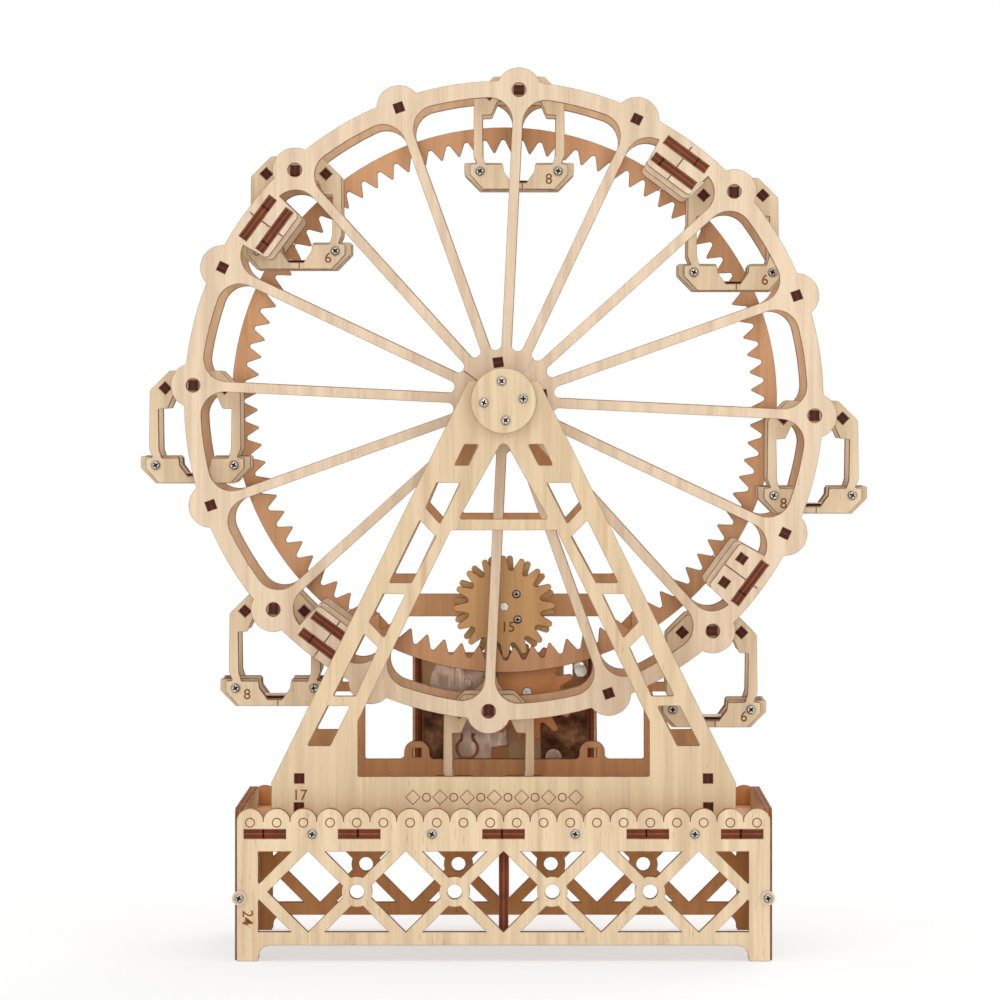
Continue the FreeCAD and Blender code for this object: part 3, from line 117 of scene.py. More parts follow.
# the studio, in metres: each lamp's place and width
FLOOR_REACH = 6.0
LAMPS = {"key": ((-0.75, -1.1, 0.95), 0.9), "fill": ((0.95, -0.9, 0.6), 0.9),
         "front": ((0.0, -1.6, 0.14), 0.5), "back": ((0.5, 1.2, 0.8), 0.9),
         "overhead": ((0.0, 0.0, 1.3), 1.1)}
LAMPS_AIM = (0, 0, 0.14)
CAMERA_SHIFT = (-0.024, -0.12)

VENEER, RIM, WALL, MARK, CHAR_AND_GAP_SHADE = range(5)      # the finishes of a board, in their order
ZINC, _, RING_WALL, RING_FACE = range(4)            # the finishes of the fasteners
CUT_BY_MARK = 1             # what the engraving leaves on the faces that a mark has cut

NODES = frame["nodes"]
BODIES = frame["record"]["behaviour"]["bodies"]
BODY_OF = {node: body for body, nodes in BODIES.items() for node in nodes}


def linear(code):
    """An sRGB hex value as a linear RGBA colour."""
    channels = [int(code[k:k + 2], 16) / 255 for k in (1, 3, 5)]
    return tuple(c / 12.92 if c <= 0.04045 else ((c + 0.055) / 1.055) ** 2.4 for c in channels) + (1.0,)


def length(name, description, size):
    """A length property whose default is given in millimetres."""
    return bpy.props.FloatProperty(name=name, description=description, default=size * MM, min=0.0,
                                   precision=5, unit="LENGTH")


def tint(name, description, code):
    """A colour property whose default is an sRGB hex value."""
    return bpy.props.FloatVectorProperty(name=name, description=description, default=linear(code), size=4,
                                         min=0.0, max=1.0, subtype="COLOR")


def power(name, description, watts):
    """A property for the power of a lamp, in watts."""
    return bpy.props.FloatProperty(name=name, description=description, default=watts, min=0.0, unit="POWER")


class ToyBirchSettings(bpy.types.PropertyGroup):
    """Sizes and colours of the laser-cut plywood. The veneers of the deeper parts are browner copies of the
    same birch: painted shade.
    """

    chamfer: length("Scorched edge", "Width of the worn, scorched rim along each cut", 0.16)
    engraving: length("Engraving depth", "How deep the laser engraves lines and numbers", 0.18)
    stroke: length("Engraved stroke", "Width of an engraved line", 0.34)
    figures: length("Number height", "Height of an engraved part number", 3.4)
    boldness: length("Number boldness", "How much each side of a figure's stroke is widened", 0.03)
    panel: tint("Base panels", "Face veneer of the front and end panels", "#E8D0AC")
    tower: tint("Front tower", "Face veneer of the front tower", "#E0C7A2")
    rim: tint("Front rim", "Face veneer of the front rim and its spokes", "#E6CEB0")
    hub: tint("Hub", "Face veneer of the hub discs and covers", "#E3CCA6")
    cabin: tint("Gondolas", "Face veneer of the gondolas", "#E4CCA8")
    # rear rim to output gear: the same birch as in front, tinted browner and more orange to stand for the
    # shade these deeper parts sit in: painted shade
    rear_rim: tint("Rear rim", "Face veneer of the rear rim", "#E0B890")
    gear: tint("Ring gear", "Face veneer of the ring gear", "#DEAA7C")
    rear_tower: tint("Rear tower", "Face veneer of the rear tower, the housing and the crank arm", "#E0AE7C")
    rear_panel: tint("Rear panel", "Face veneer of the rear panel, the deck and the rib", "#DEA468")
    pinion: tint("Pinions", "Face veneer of the plywood pinions", "#D8AA70")
    board: tint("Movement board", "Face veneer of the board behind the steel plate", "#C2A47A")
    movement: tint("Movement", "Face veneer of the output gear", "#D8955C")
    wall: tint("Cut wall", "Colour of a laser-cut wall", "#8C5430")
    char: tint("Charred wall", "Colour of a wall where the beam burned deep", "#6A2A15")
    glue: tint("Glue line", "Colour of the glue lines in a cut wall", "#2A0F07")
    burn: tint("Engraving", "Colour of an engraved line", "#9A5C2C")


class ToyHardwareSettings(bpy.types.PropertyGroup):
    """Sizes of the screws, nuts and washers."""

    head_radius: length("Head radius", "Radius of a pan head", 1.55)
    head_height: length("Head height", "Height of a pan head", 1.1)
    shank_radius: length("Shank radius", "Radius of a bolt's shank", 0.93)
    recess_width: length("Recess width", "Width of one bar of the cross recess", 0.58)
    recess_depth: length("Recess depth", "Depth of the cross recess", 0.6)
    nut_side: length("Square nut", "Side of a square nut", 4.0)
    washer_radius: length("Washer radius", "Outer radius of a birch ring washer", 2.25)
    zinc: tint("Zinc", "Colour of the plated steel", "#ABA69F")
    plate: tint("Front plate", "Colour of the movement's steel plate", "#846F62")
    brass: tint("Brass", "Colour of the brass wheels and the fly", "#94713F")
    bridge: tint("Bridges", "Colour of the browned brass plates", "#6B4A34")


class ToyStudioSettings(bpy.types.PropertyGroup):
    """Camera, floor and lamps."""

    distance: length("Camera distance", "How far the camera stands in front of the frame's middle", 1551.0)
    height: length("Camera height", "Height of the camera above the floor", 181.7)
    aside: length("Camera offset", "How far the camera stands to the right", 6.4)
    lens: bpy.props.FloatProperty(name="Lens", description="Focal length in mm on a 36 mm sensor",
                                  default=171.3, min=10.0)
    ambient: bpy.props.FloatProperty(name="Ambient light", description="Strength of the white surroundings",
                                     default=0.52, min=0.0)
    key: power("Key lamp", "Power of the soft lamp at the front left", 3.4)
    fill: power("Fill lamp", "Power of the soft lamp at the front right", 2.2)
    front: power("Front lamp", "Power of the low lamp beside the camera", 5.0)
    back: power("Back lamp", "Power of the soft lamp behind the toy", 8.0)
    overhead: power("Overhead lamp", "Power of the soft lamp above the toy", 6.0)


# ---------------------------------------------------------------- nodes and finishes
def add(tree, kind, links=None, stops=None, **settings):
    """Add a node with its settings; links gives an input a constant or what it comes from: a socket, a
    node whose first output is meant, or a list of them where the input joins several."""
    node = tree.nodes.new(kind)
    for key, value in settings.items():
        setattr(node, key, value)
    if stops:
        elements = node.color_ramp.elements
        elements[0].position, elements[0].color = stops[0]
        elements[-1].position, elements[-1].color = stops[-1]
        for position, colour in stops[1:-1]:
            elements.new(position).color = colour
    for key, value in (links or {}).items():
        for source in value if isinstance(value, list) else [value]:
            if isinstance(source, bpy.types.Node):
                source = next(socket for socket in source.outputs if socket.enabled)
            if isinstance(source, bpy.types.NodeSocket):
                tree.links.new(source, node.inputs[key])
            else:
                node.inputs[key].default_value = source
    return node


def blank(name):
    """A new material and its node tree, which is empty."""
    material = bpy.data.materials.new(name)
    material.use_nodes = True
    material.node_tree.nodes.clear()
    return material, material.node_tree


def surfaced(material, inputs):
    """Close a material's tree with a shader that gets these inputs, and return the material."""
    shader = add(material.node_tree, "ShaderNodeBsdfPrincipled", inputs)
    add(material.node_tree, "ShaderNodeOutputMaterial", {"Surface": shader})
    return material


def pattern(tree, coordinates, per_mm, detail=2.0, roughness=0.5):
    """Noise whose features are 1 / per_mm millimetres in size along each of the three ways."""
    scaled = add(tree, "ShaderNodeVectorMath", {0: coordinates, 1: per_mm}, operation="MULTIPLY")
    return add(tree, "ShaderNodeTexNoise", {"Vector": scaled, "Scale": 1.0, "Detail": detail,
                                            "Roughness": roughness})


def shares(tree, *marks):
    """What several marks add up to; each is a value, the low and high end of what counts in it, and what
    it adds at these ends."""
    total = None
    for value, low, high, least, most in marks:
        share = add(tree, "ShaderNodeMapRange", {0: value, 1: low, 2: high, 3: least, 4: most})
        total = add(tree, "ShaderNodeMath", {0: total, 1: share}, operation="ADD") if total else share
    return total


def looked_at(tree):
    """1 for what the eye sees straight, in metal or through glass, and 0 for what only gives light."""
    path = add(tree, "ShaderNodeLightPath").outputs
    seen = path["Is Camera Ray"]
    for kind in ("Is Glossy Ray", "Is Transmission Ray"):
        seen = add(tree, "ShaderNodeMath", {0: seen, 1: path[kind]}, operation="MAXIMUM")
    return seen


def shade(colour, factor):
    """A colour made lighter or darker."""
    return tuple(min(1.0, channel * factor) for channel in colour[:3]) + (1.0,)


def toned(colour, other, share):
    """A colour moved part of the way to another."""
    return tuple(a + (b - a) * share for a, b in zip(colour[:3], other[:3])) + (1.0,)


def birch_face(name, colour):
    """Rotary-cut birch veneer, sanded and left raw: pale, with soft bands, faint contour lines and short
    brown flecks along the grain; it has hardly any gloss."""
    material, tree = blank(name)
    board = add(tree, "ShaderNodeAttribute", attribute_name="board").outputs["Vector"]
    tone = add(tree, "ShaderNodeAttribute", attribute_name="tone").outputs["Fac"]
    bands = pattern(tree, board, (0.24, 0.24, 0.012), 3.0)           # bands 4 mm wide and 80 mm long
    contour = pattern(tree, board, (0.07, 0.07, 0.006), 1.0)         # cathedral figure 14 mm wide
    fibres = pattern(tree, board, (1.2, 1.2, 0.035))                 # bundles of fibres 0.8 mm wide
    flecks = pattern(tree, board, (1.6, 1.6, 0.2), 1.0)              # pith flecks 0.6 by 5 mm
    streak = pattern(tree, board, (0.3, 0.3, 0.014), 0.0)            # rare amber streak 3 mm wide
    rings = add(tree, "ShaderNodeMath", {0: contour, 1: 30.0}, operation="MULTIPLY")
    rings = add(tree, "ShaderNodeMath", {0: rings}, operation="SINE")
    wear = shares(tree, (bands, 0.34, 0.68, -0.1, 0.36), (rings, 0.2, 1.0, 0.0, 0.13),
                  (fibres, 0.3, 0.75, -0.08, 0.18), (flecks, 0.68, 0.76, 0.0, 0.5),
                  (tone, 0.0, 1.0, -0.07, 0.08))
    dark = toned(shade(colour, 0.72), linear("#A8703F"), 0.35)
    ground = add(tree, "ShaderNodeMix", {0: wear, 6: shade(colour, 1.03), 7: dark}, data_type="RGBA")
    amber = toned(colour, linear("#B4702C"), 0.75)
    ground = add(tree, "ShaderNodeMix", {0: shares(tree, (streak, 0.74, 0.8, 0.0, 0.3)), 6: ground,
                                         7: amber}, data_type="RGBA")
    bump = add(tree, "ShaderNodeBump", {"Height": fibres, "Distance": 0.02 * MM, "Strength": 0.4})
    return surfaced(material, {"Base Color": ground, "Normal": bump, "IOR": 1.5, "Specular IOR Level": 0.35,
                               "Roughness": shares(tree, (fibres, 0.3, 0.7, 0.52, 0.64))})


def burnt_edge(name, wall, glue, core, outer=None):
    """Laser-cut wall of three-ply birch: browned or charred, with two thin dark glue lines between the
    plies and fine striations across the sheet where the beam stepped along; the outer ply may be paler."""
    material, tree = blank(name)
    board = add(tree, "ShaderNodeAttribute", attribute_name="board").outputs["Vector"]
    ply = add(tree, "ShaderNodeAttribute", attribute_name="ply").outputs["Fac"]
    plies = add(tree, "ShaderNodeValToRGB", {"Fac": ply}, stops=[
        (0.0, outer or wall), (0.29, outer or wall), (0.33, glue), (0.38, core), (0.62, core), (0.67, glue),
        (0.71, wall), (1.0, wall)])
    steps = pattern(tree, board, (2.2, 0.12, 2.2), 2.0, 0.6)         # beam steps, drawn 0.45 mm to show
    clouds = pattern(tree, board, (0.16, 0.16, 0.16))                # patches of heavier char, 6 mm
    light = shares(tree, (steps, 0.3, 0.7, -0.2, 0.25), (clouds, 0.3, 0.7, 0.78, 1.2))
    level = add(tree, "ShaderNodeCombineColor", {0: light, 1: light, 2: light})
    burnt = add(tree, "ShaderNodeMix", {0: 1.0, 6: plies, 7: level}, data_type="RGBA", blend_type="MULTIPLY")
    bump = add(tree, "ShaderNodeBump", {"Height": steps, "Distance": 0.05 * MM, "Strength": 0.5})
    return surfaced(material, {"Base Color": burnt, "Normal": bump, "IOR": 1.5, "Specular IOR Level": 0.25,
                               "Roughness": shares(tree, (steps, 0.3, 0.7, 0.62, 0.8))})


def scorched(name, weak, strong, per_mm=0.5):
    """Veneer browned by the beam, along a cut or at the bottom of an engraved line: matt, and uneven
    where the beam slowed down."""
    material, tree = blank(name)
    board = add(tree, "ShaderNodeAttribute", attribute_name="board").outputs["Vector"]
    smoke = pattern(tree, board, (per_mm, per_mm, per_mm), 3.0)
    brown = add(tree, "ShaderNodeMix", {0: shares(tree, (smoke, 0.3, 0.7, 0.0, 1.0)), 6: weak, 7: strong},
                data_type="RGBA")
    return surfaced(material, {"Base Color": brown, "IOR": 1.5, "Specular IOR Level": 0.2,
                               "Roughness": 0.75})


def metal(name, colour, rough, grain, tarnish, share, brushed=(1.0, 1.0, 1.0)):
    """Sheet or turned metal; grain is the size of its marks in mm, and tarnish covers a share of it."""
    material, tree = blank(name)
    place_on = add(tree, "ShaderNodeTexCoord").outputs["Object"]
    fine = pattern(tree, place_on, tuple(way / (grain * MM) for way in brushed), 2.0, 0.6)
    cloudy = pattern(tree, place_on, (1 / (4 * MM),) * 3, 3.0)        # tarnish patches about 4 mm across
    body = add(tree, "ShaderNodeMix", {0: shares(tree, (fine, 0.3, 0.7, 0.0, 0.3)), 6: shade(colour, 1.05),
                                       7: shade(colour, 0.8)}, data_type="RGBA")
    aged = add(tree, "ShaderNodeMix", {0: shares(tree, (cloudy, 0.35, 0.7, 0.0, share)), 6: body,
                                       7: tarnish}, data_type="RGBA")
    dull = shares(tree, (fine, 0.3, 0.7, rough - 0.06, rough + 0.08), (cloudy, 0.35, 0.7, 0.0, 0.15))
    bump = add(tree, "ShaderNodeBump", {"Height": fine, "Distance": 0.01 * MM, "Strength": 0.5})
    return surfaced(material, {"Base Color": aged, "Roughness": dull, "Normal": bump, "Metallic": 1.0})


def turned_birch(name, colour):
    """Solid birch turned on a lathe and waxed: end rings with fine tool lines round the axis and a low
    sheen."""
    material, tree = blank(name)
    place_on = add(tree, "ShaderNodeTexCoord").outputs["Object"]
    lines = pattern(tree, place_on, (60.0, 1 / (0.5 * MM), 60.0))    # tool lines, drawn 0.5 mm apart
    streaks = pattern(tree, place_on, (1 / (1.2 * MM), 1 / (30 * MM), 1 / (1.2 * MM)), 3.0)
    wear = shares(tree, (lines, 0.3, 0.7, 0.0, 0.25), (streaks, 0.3, 0.7, 0.0, 0.5))
    dark = toned(shade(colour, 0.7), linear("#8A5A30"), 0.3)
    grain = add(tree, "ShaderNodeMix", {0: wear, 6: colour, 7: dark}, data_type="RGBA")
    return surfaced(material, {"Base Color": grain, "IOR": 1.5, "Specular IOR Level": 0.4,
                               "Roughness": shares(tree, (lines, 0.3, 0.7, 0.38, 0.5))})


FINISHES = {}


def finish_for(key, make, *values):
    """A finish that is made once and shared by every piece that asks for it."""
    if key not in FINISHES:
        FINISHES[key] = make(key, *values)
    return FINISHES[key]


def engraved_line(birch):
    """Birch veneer under an engraved line, browned in patches of 0.7 mm."""
    burn = tuple(birch.burn)
    return finish_for("birch_engraved_line", scorched, burn, shade(burn, 0.7), 1.5)


def ply_finishes(birch, veneer, wall="wall"):
    """Face, scorched rim, cut wall, engraving, and the near-black finish of narrow gaps and stick ends
    (painted shade in the gaps, heavier char at the ends) for boards of one veneer and wall.
    """
    colour, char, glue = (tuple(getattr(birch, key)) for key in (veneer, "char", "glue"))
    if wall == "veneer":
        edge = finish_for("birch_ply_pale_outer_ply", burnt_edge, char, glue, toned(char, colour, 0.1),
                          linear("#DDB082"))
    else:
        browned = tuple(getattr(birch, wall))
        edge = finish_for("birch_ply_laser_cut_" + wall, burnt_edge, browned, glue,
                          toned(browned, linear("#C68A50"), 0.3 if wall == "wall" else 0.15))
    return [
        finish_for("birch_veneer_raw_" + veneer, birch_face, colour),
        finish_for("birch_scorched_rim_" + veneer, scorched, toned(colour, char, 0.35),
                   toned(colour, char, 0.75)),
        edge,
        engraved_line(birch),
        # near-black walls: painted shade where a wall faces another close by, heavier char at the ends of
        # sticks
        finish_for("birch_ply_narrow_cut", burnt_edge, shade(char, 0.4), shade(glue, 0.6), shade(char, 0.7))]


def zinc_finish(hardware):
    """Zinc-plated steel from a barrel: bright, with a fine frosted grain."""
    return finish_for("zinc_plated_steel", metal, tuple(hardware.zinc), 0.34, 0.5, linear("#8F8B86"), 0.35)


def aged_brass(hardware):
    """Cut brass that has been handled: brown tarnish over a dull gold ground."""
    return finish_for("aged_stamped_brass", metal, tuple(hardware.brass), 0.42, 0.5, linear("#4A3420"), 0.7)


# ---------------------------------------------------------------- meshes
def place(x, y, z):
    """A spot in mm from the middle of the base, as a point of the frame in metres."""
    return Vector((x, y - CENTRE_Y, z)) * MM


def on_circle(radius, angle):
    """X and Z on a circle round the hub, clockwise from the top."""
    turn = math.radians(angle)
    return radius * math.sin(turn), HUB_Z + radius * math.cos(turn)


def show(name, mesh, node, materials=None):
    """Make a piece that rides with, and stands for, the CAD node it is made after."""
    if materials:
        indices = [polygon.material_index for polygon in mesh.polygons]
        mesh.materials.clear()
        for material in materials:
            mesh.materials.append(material)
        mesh.polygons.foreach_set("material_index", indices)
    piece = bpy.data.objects.new(name, mesh)
    bpy.context.collection.objects.link(piece)
    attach(piece, BODY_OF[node])
    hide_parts(node)
    return piece


def merged(node, layers=()):
    """A merged copy of a CAD node, with one face for each flat side. Discs that are stacked on each
    other share their rims, so each layer, given as (low y, high y) in mm, is merged by itself."""
    mesh = bmesh.new()
    mesh.from_mesh(NODES[node].data)
    groups = [mesh.verts[:]]
    if layers:
        sunk = {face: (face.calc_center_median() - face.normal * A_HAIR * MM).y for face in mesh.faces}
        groups = [list({vert: None for face, y in sunk.items()
                        if place(0, low, 0).y < y < place(0, high, 0).y for vert in face.verts})
                  for low, high in layers]
    for group in groups:
        bmesh.ops.remove_doubles(mesh, verts=group, dist=SAME_SPOT * MM)
    bmesh.ops.dissolve_limit(mesh, angle_limit=math.radians(0.6), verts=mesh.verts, edges=mesh.edges)
    mesh.normal_update()
    return mesh


def separate_boards(mesh):
    """Yield the faces and vertices of each board of a mesh, in a fixed order."""
    seen = set()
    for first in mesh.faces:
        if first in seen:
            continue
        seen.add(first)
        faces, waiting = [], [first]
        while waiting:
            face = waiting.pop()
            faces.append(face)
            for edge in face.edges:
                for other in edge.link_faces:
                    if other not in seen:
                        seen.add(other)
                        waiting.append(other)
        yield faces, list({vert: None for face in faces for vert in face.verts})


def sheet_axis(faces, verts):
    """The way across the sheet that a board was cut from, and how far the board reaches along it."""
    areas = {}
    for face in faces:
        normal = face.normal
        largest = max(normal, key=abs)
        key = tuple(round(c * math.copysign(1, largest), 2) + 0.0 for c in normal)
        areas[key] = areas.get(key, 0.0) + face.calc_area()
    found = []
    for key in sorted(areas, key=lambda way: (-round(areas[way], 9), way))[:12]:
        axis = Vector(key).normalized()
        along = [axis.dot(vert.co) for vert in verts]
        low, high = min(along), max(along)
        if high - low <= SHEET_MOST * MM:
            return axis, low, high
        found.append((high - low, tuple(axis), low, high))
    _, axis, low, high = min(found)
    return Vector(axis), low, high


def chamfer_cuts(mesh, width):
    """Bevel every edge between a board's face and a cut wall."""
    rims = []
    for faces, verts in separate_boards(mesh):
        axis = sheet_axis(faces, verts)[0]
        flat = {face for face in faces if abs(face.normal.dot(axis)) > 0.98}
        for edge in {edge: None for face in faces for edge in face.edges}:
            if len(edge.link_faces) == 2 and len(flat.intersection(edge.link_faces)) == 1:
                rims.append(edge)
    bmesh.ops.bevel(mesh, geom=rims, offset=width, offset_type="OFFSET", segments=1, profile=0.5,
                    affect="EDGES", clamp_overlap=False)


def grain_of(axis, verts, grain):
    """The way along the grain of a board: along a stick, otherwise the way that is asked for."""
    sides = [axis.cross(way) for way in (Vector((1, 0, 0)), Vector((0, 1, 0)), Vector((0, 0, 1)))]
    middle = sum((vert.co for vert in verts), Vector()) / len(verts)
    reach = {tuple(side.normalized()): max(abs((vert.co - middle).dot(side.normalized())) for vert in verts)
             for side in sides if side.length > 0.1}
    longest = max(reach, key=reach.get)
    shortest = min(reach, key=reach.get)
    if reach[shortest] < SHEET_MOST * MM * 0.55 and reach[longest] > 2 * reach[shortest]:
        return Vector(longest)
    flat = Vector(grain) - axis * axis.dot(Vector(grain))
    return flat.normalized() if flat.length > 0.1 else Vector(longest)


def ply_attributes(data, name, grain, engraved):
    """Give a plywood mesh its finishes by face, and the board, ply and tone attributes that they read."""
    mesh = bmesh.new()
    mesh.from_mesh(data)
    bmesh.ops.triangulate(mesh, faces=mesh.faces, quad_method="BEAUTY", ngon_method="BEAUTY")
    board = mesh.verts.layers.float_vector.new("board")
    ply = mesh.verts.layers.float.new("ply")
    tone = mesh.verts.layers.float.new("tone")
    chance = random.Random(name)
    nearby = BVHTree.FromBMesh(mesh)
    for faces, verts in separate_boards(mesh):
        axis, low, high = sheet_axis(faces, verts)
        along = grain_of(axis, verts, grain)
        across = along.cross(axis)
        widths = [across.dot(vert.co) for vert in verts]
        stick = max(widths) - min(widths) <= SHEET_MOST * MM
        shift = Vector([chance.uniform(-400, 400) for _ in range(3)])
        shift.y = 0.0
        own = chance.random()
        for vert in verts:
            through = axis.dot(vert.co)
            vert[board] = Vector((across.dot(vert.co), through - low, along.dot(vert.co))) / MM + shift
            outer = through - low if low + high < 0 else high - through
            vert[ply] = outer / max(high - low, 1e-6)
            vert[tone] = own
        for face in faces:
            if engraved and face.material_index == CUT_BY_MARK:
                face.material_index = MARK
                continue
            facing = abs(face.normal.dot(axis))
            face.material_index = VENEER if facing > SQUARE_ON else RIM if facing > ASLANT else WALL
            if facing <= ASLANT:
                # a wall with another face close in front of it goes near-black as painted shade of the gap; a
                # stick's end goes near-black as heavier char
                spot = face.calc_center_median() + face.normal * A_HAIR * MM
                end = stick and abs(face.normal.dot(along)) > 0.9
                if end or nearby.ray_cast(spot, face.normal, NARROW * MM)[0]:
                    face.material_index = CHAR_AND_GAP_SHADE
    mesh.to_mesh(data)
    mesh.free()
    smooth(data)


def smooth(data, angle=30.0):
    """Smooth shading with sharp edges above an angle, without the normals that came with the CAD mesh."""
    if "custom_normal" in data.attributes:
        data.attributes.remove(data.attributes["custom_normal"])
    data.shade_smooth()
    data.set_sharp_from_angle(angle=math.radians(angle))
    for polygon in data.polygons:
        ends = [data.vertices[index].co for index in polygon.vertices]
        shortest = min((a - b).length for a, b in zip(ends, ends[1:] + ends[:1]))
        if len(ends) > 4 or shortest > FLAT_LEAST * MM:
            polygon.use_smooth = False


def engrave(data, cutters):
    """Cut marks into a mesh; the walls and floors of the marks keep the marks' own material slot."""
    block = bpy.data.objects.new("board", data)
    bpy.context.collection.objects.link(block)
    data.materials.append(bpy.data.materials.new("uncut"))
    tool_mesh = bpy.data.meshes.new("marks")
    both = bmesh.new()
    for cutter in cutters:
        both.from_mesh(cutter)
    both.to_mesh(tool_mesh)
    both.free()
    tool_mesh.materials.append(bpy.data.materials.new("cut"))
    tool = bpy.data.objects.new("marks", tool_mesh)
    bpy.context.collection.objects.link(tool)
    modifier = block.modifiers.new("engraving", "BOOLEAN")
    modifier.object, modifier.operation, modifier.solver = tool, "DIFFERENCE", "EXACT"
    modifier.material_mode = "TRANSFER"
    bpy.context.view_layer.update()
    graph = bpy.context.evaluated_depsgraph_get()
    result = bpy.data.meshes.new_from_object(block.evaluated_get(graph))
    bpy.data.objects.remove(block)
    bpy.data.objects.remove(tool)
    return result


def dress(node, veneer, grain=(0, 0, 1), cutters=(), layers=(), wall="wall"):
    """Replace a plywood CAD node by its laser-cut copy: scorched rims, ply walls, engraved marks."""
    birch = bpy.context.scene.toy_birch
    mesh = merged(node, layers)
    chamfer_cuts(mesh, birch.chamfer)
    data = bpy.data.meshes.new(node + "_birch")
    mesh.to_mesh(data)
    mesh.free()
    if cutters:
        data = engrave(data, cutters)
    ply_attributes(data, node, grain, bool(cutters))
    return show(node + "_birch", data, node, ply_finishes(birch, veneer, wall))


def machined(node, material, bevel=0.0, angle=35.0):
    """Replace a metal or turned CAD node by its merged copy with broken edges and smooth shading."""
    mesh = merged(node)
    if bevel:
        edges = [edge for edge in mesh.edges
                 if len(edge.link_faces) == 2 and edge.calc_face_angle(0.0) > math.radians(50)]
        bmesh.ops.bevel(mesh, geom=edges, offset=bevel * MM, offset_type="OFFSET", segments=2, profile=0.5,
                        affect="EDGES", clamp_overlap=True)
    data = bpy.data.meshes.new(node + "_metal")
    mesh.to_mesh(data)
    mesh.free()
    smooth(data, angle)
    return show(node + "_finished", data, node, [material])


# ---------------------------------------------------------------- repeated shapes by Geometry Nodes
def repeated(name, sizes, shape, materials):
    """A Geometry Nodes tree that sets one shape on every vertex, its Z along the attribute "facing".
    sizes gives the named inputs and their defaults, shape adds the shape's own nodes, and materials are
    (material, attribute that selects its faces or None)."""
    tree = bpy.data.node_groups.new(name, "GeometryNodeTree")
    tree.interface.new_socket("Geometry", in_out="INPUT", socket_type="NodeSocketGeometry")
    for label, default in dict(sizes, Turn=0.0, **{"Random Turn": 0.0, "Seed": 0}).items():
        kind = "NodeSocketInt" if isinstance(default, int) else "NodeSocketFloat"
        tree.interface.new_socket(label, in_out="INPUT", socket_type=kind).default_value = default
    tree.interface.new_socket("Geometry", in_out="OUTPUT", socket_type="NodeSocketGeometry")
    given = add(tree, "NodeGroupInput").outputs
    body = shape(tree, given)
    facing = add(tree, "GeometryNodeInputNamedAttribute", {"Name": "facing"}, data_type="FLOAT_VECTOR")
    aimed = add(tree, "FunctionNodeAlignRotationToVector", {"Vector": facing}, axis="Z")
    chance = add(tree, "FunctionNodeRandomValue", {2: 0.0, 3: given["Random Turn"], 8: given["Seed"]},
                 data_type="FLOAT")
    angle = add(tree, "ShaderNodeMath", {0: given["Turn"], 1: chance}, operation="ADD")
    twist = add(tree, "FunctionNodeAxisAngleToRotation", {"Axis": (0, 0, 1), "Angle": angle})
    turned = add(tree, "FunctionNodeRotateRotation", {0: aimed, 1: twist}, rotation_space="LOCAL")
    placed = add(tree, "GeometryNodeInstanceOnPoints",
                 {"Points": given["Geometry"], "Instance": body, "Rotation": turned})
    result = add(tree, "GeometryNodeRealizeInstances", {"Geometry": placed})
    for material, selected in materials:
        links = {"Geometry": result, "Material": material}
        if selected:
            links["Selection"] = add(tree, "GeometryNodeInputNamedAttribute", {"Name": selected},
                                     data_type="BOOLEAN")
        result = add(tree, "GeometryNodeSetMaterial", links)
    add(tree, "NodeGroupOutput", {"Geometry": result})
    return tree


def grow(tree, values, spots):
    """Run a tree on one vertex for each (point, facing) and return the result as a plain mesh."""
    points = bpy.data.meshes.new(tree.name)
    points.from_pydata([tuple(point) for point, _ in spots], [], [])
    facing = points.attributes.new("facing", "FLOAT_VECTOR", "POINT")
    facing.data.foreach_set("vector", [channel for _, way in spots for channel in way])
    carrier = bpy.data.objects.new(tree.name, points)
    bpy.context.collection.objects.link(carrier)
    modifier = carrier.modifiers.new(tree.name, "NODES")
    modifier.node_group = tree
    for item in tree.interface.items_tree:
        if item.in_out == "INPUT" and item.name in values:
            modifier[item.identifier] = values[item.name]
    bpy.context.view_layer.update()
    graph = bpy.context.evaluated_depsgraph_get()
    result = bpy.data.meshes.new_from_object(carrier.evaluated_get(graph), preserve_all_data_layers=True,
                                             depsgraph=graph)
    carrier.modifiers.remove(modifier)
    bpy.data.objects.remove(carrier)
    return result


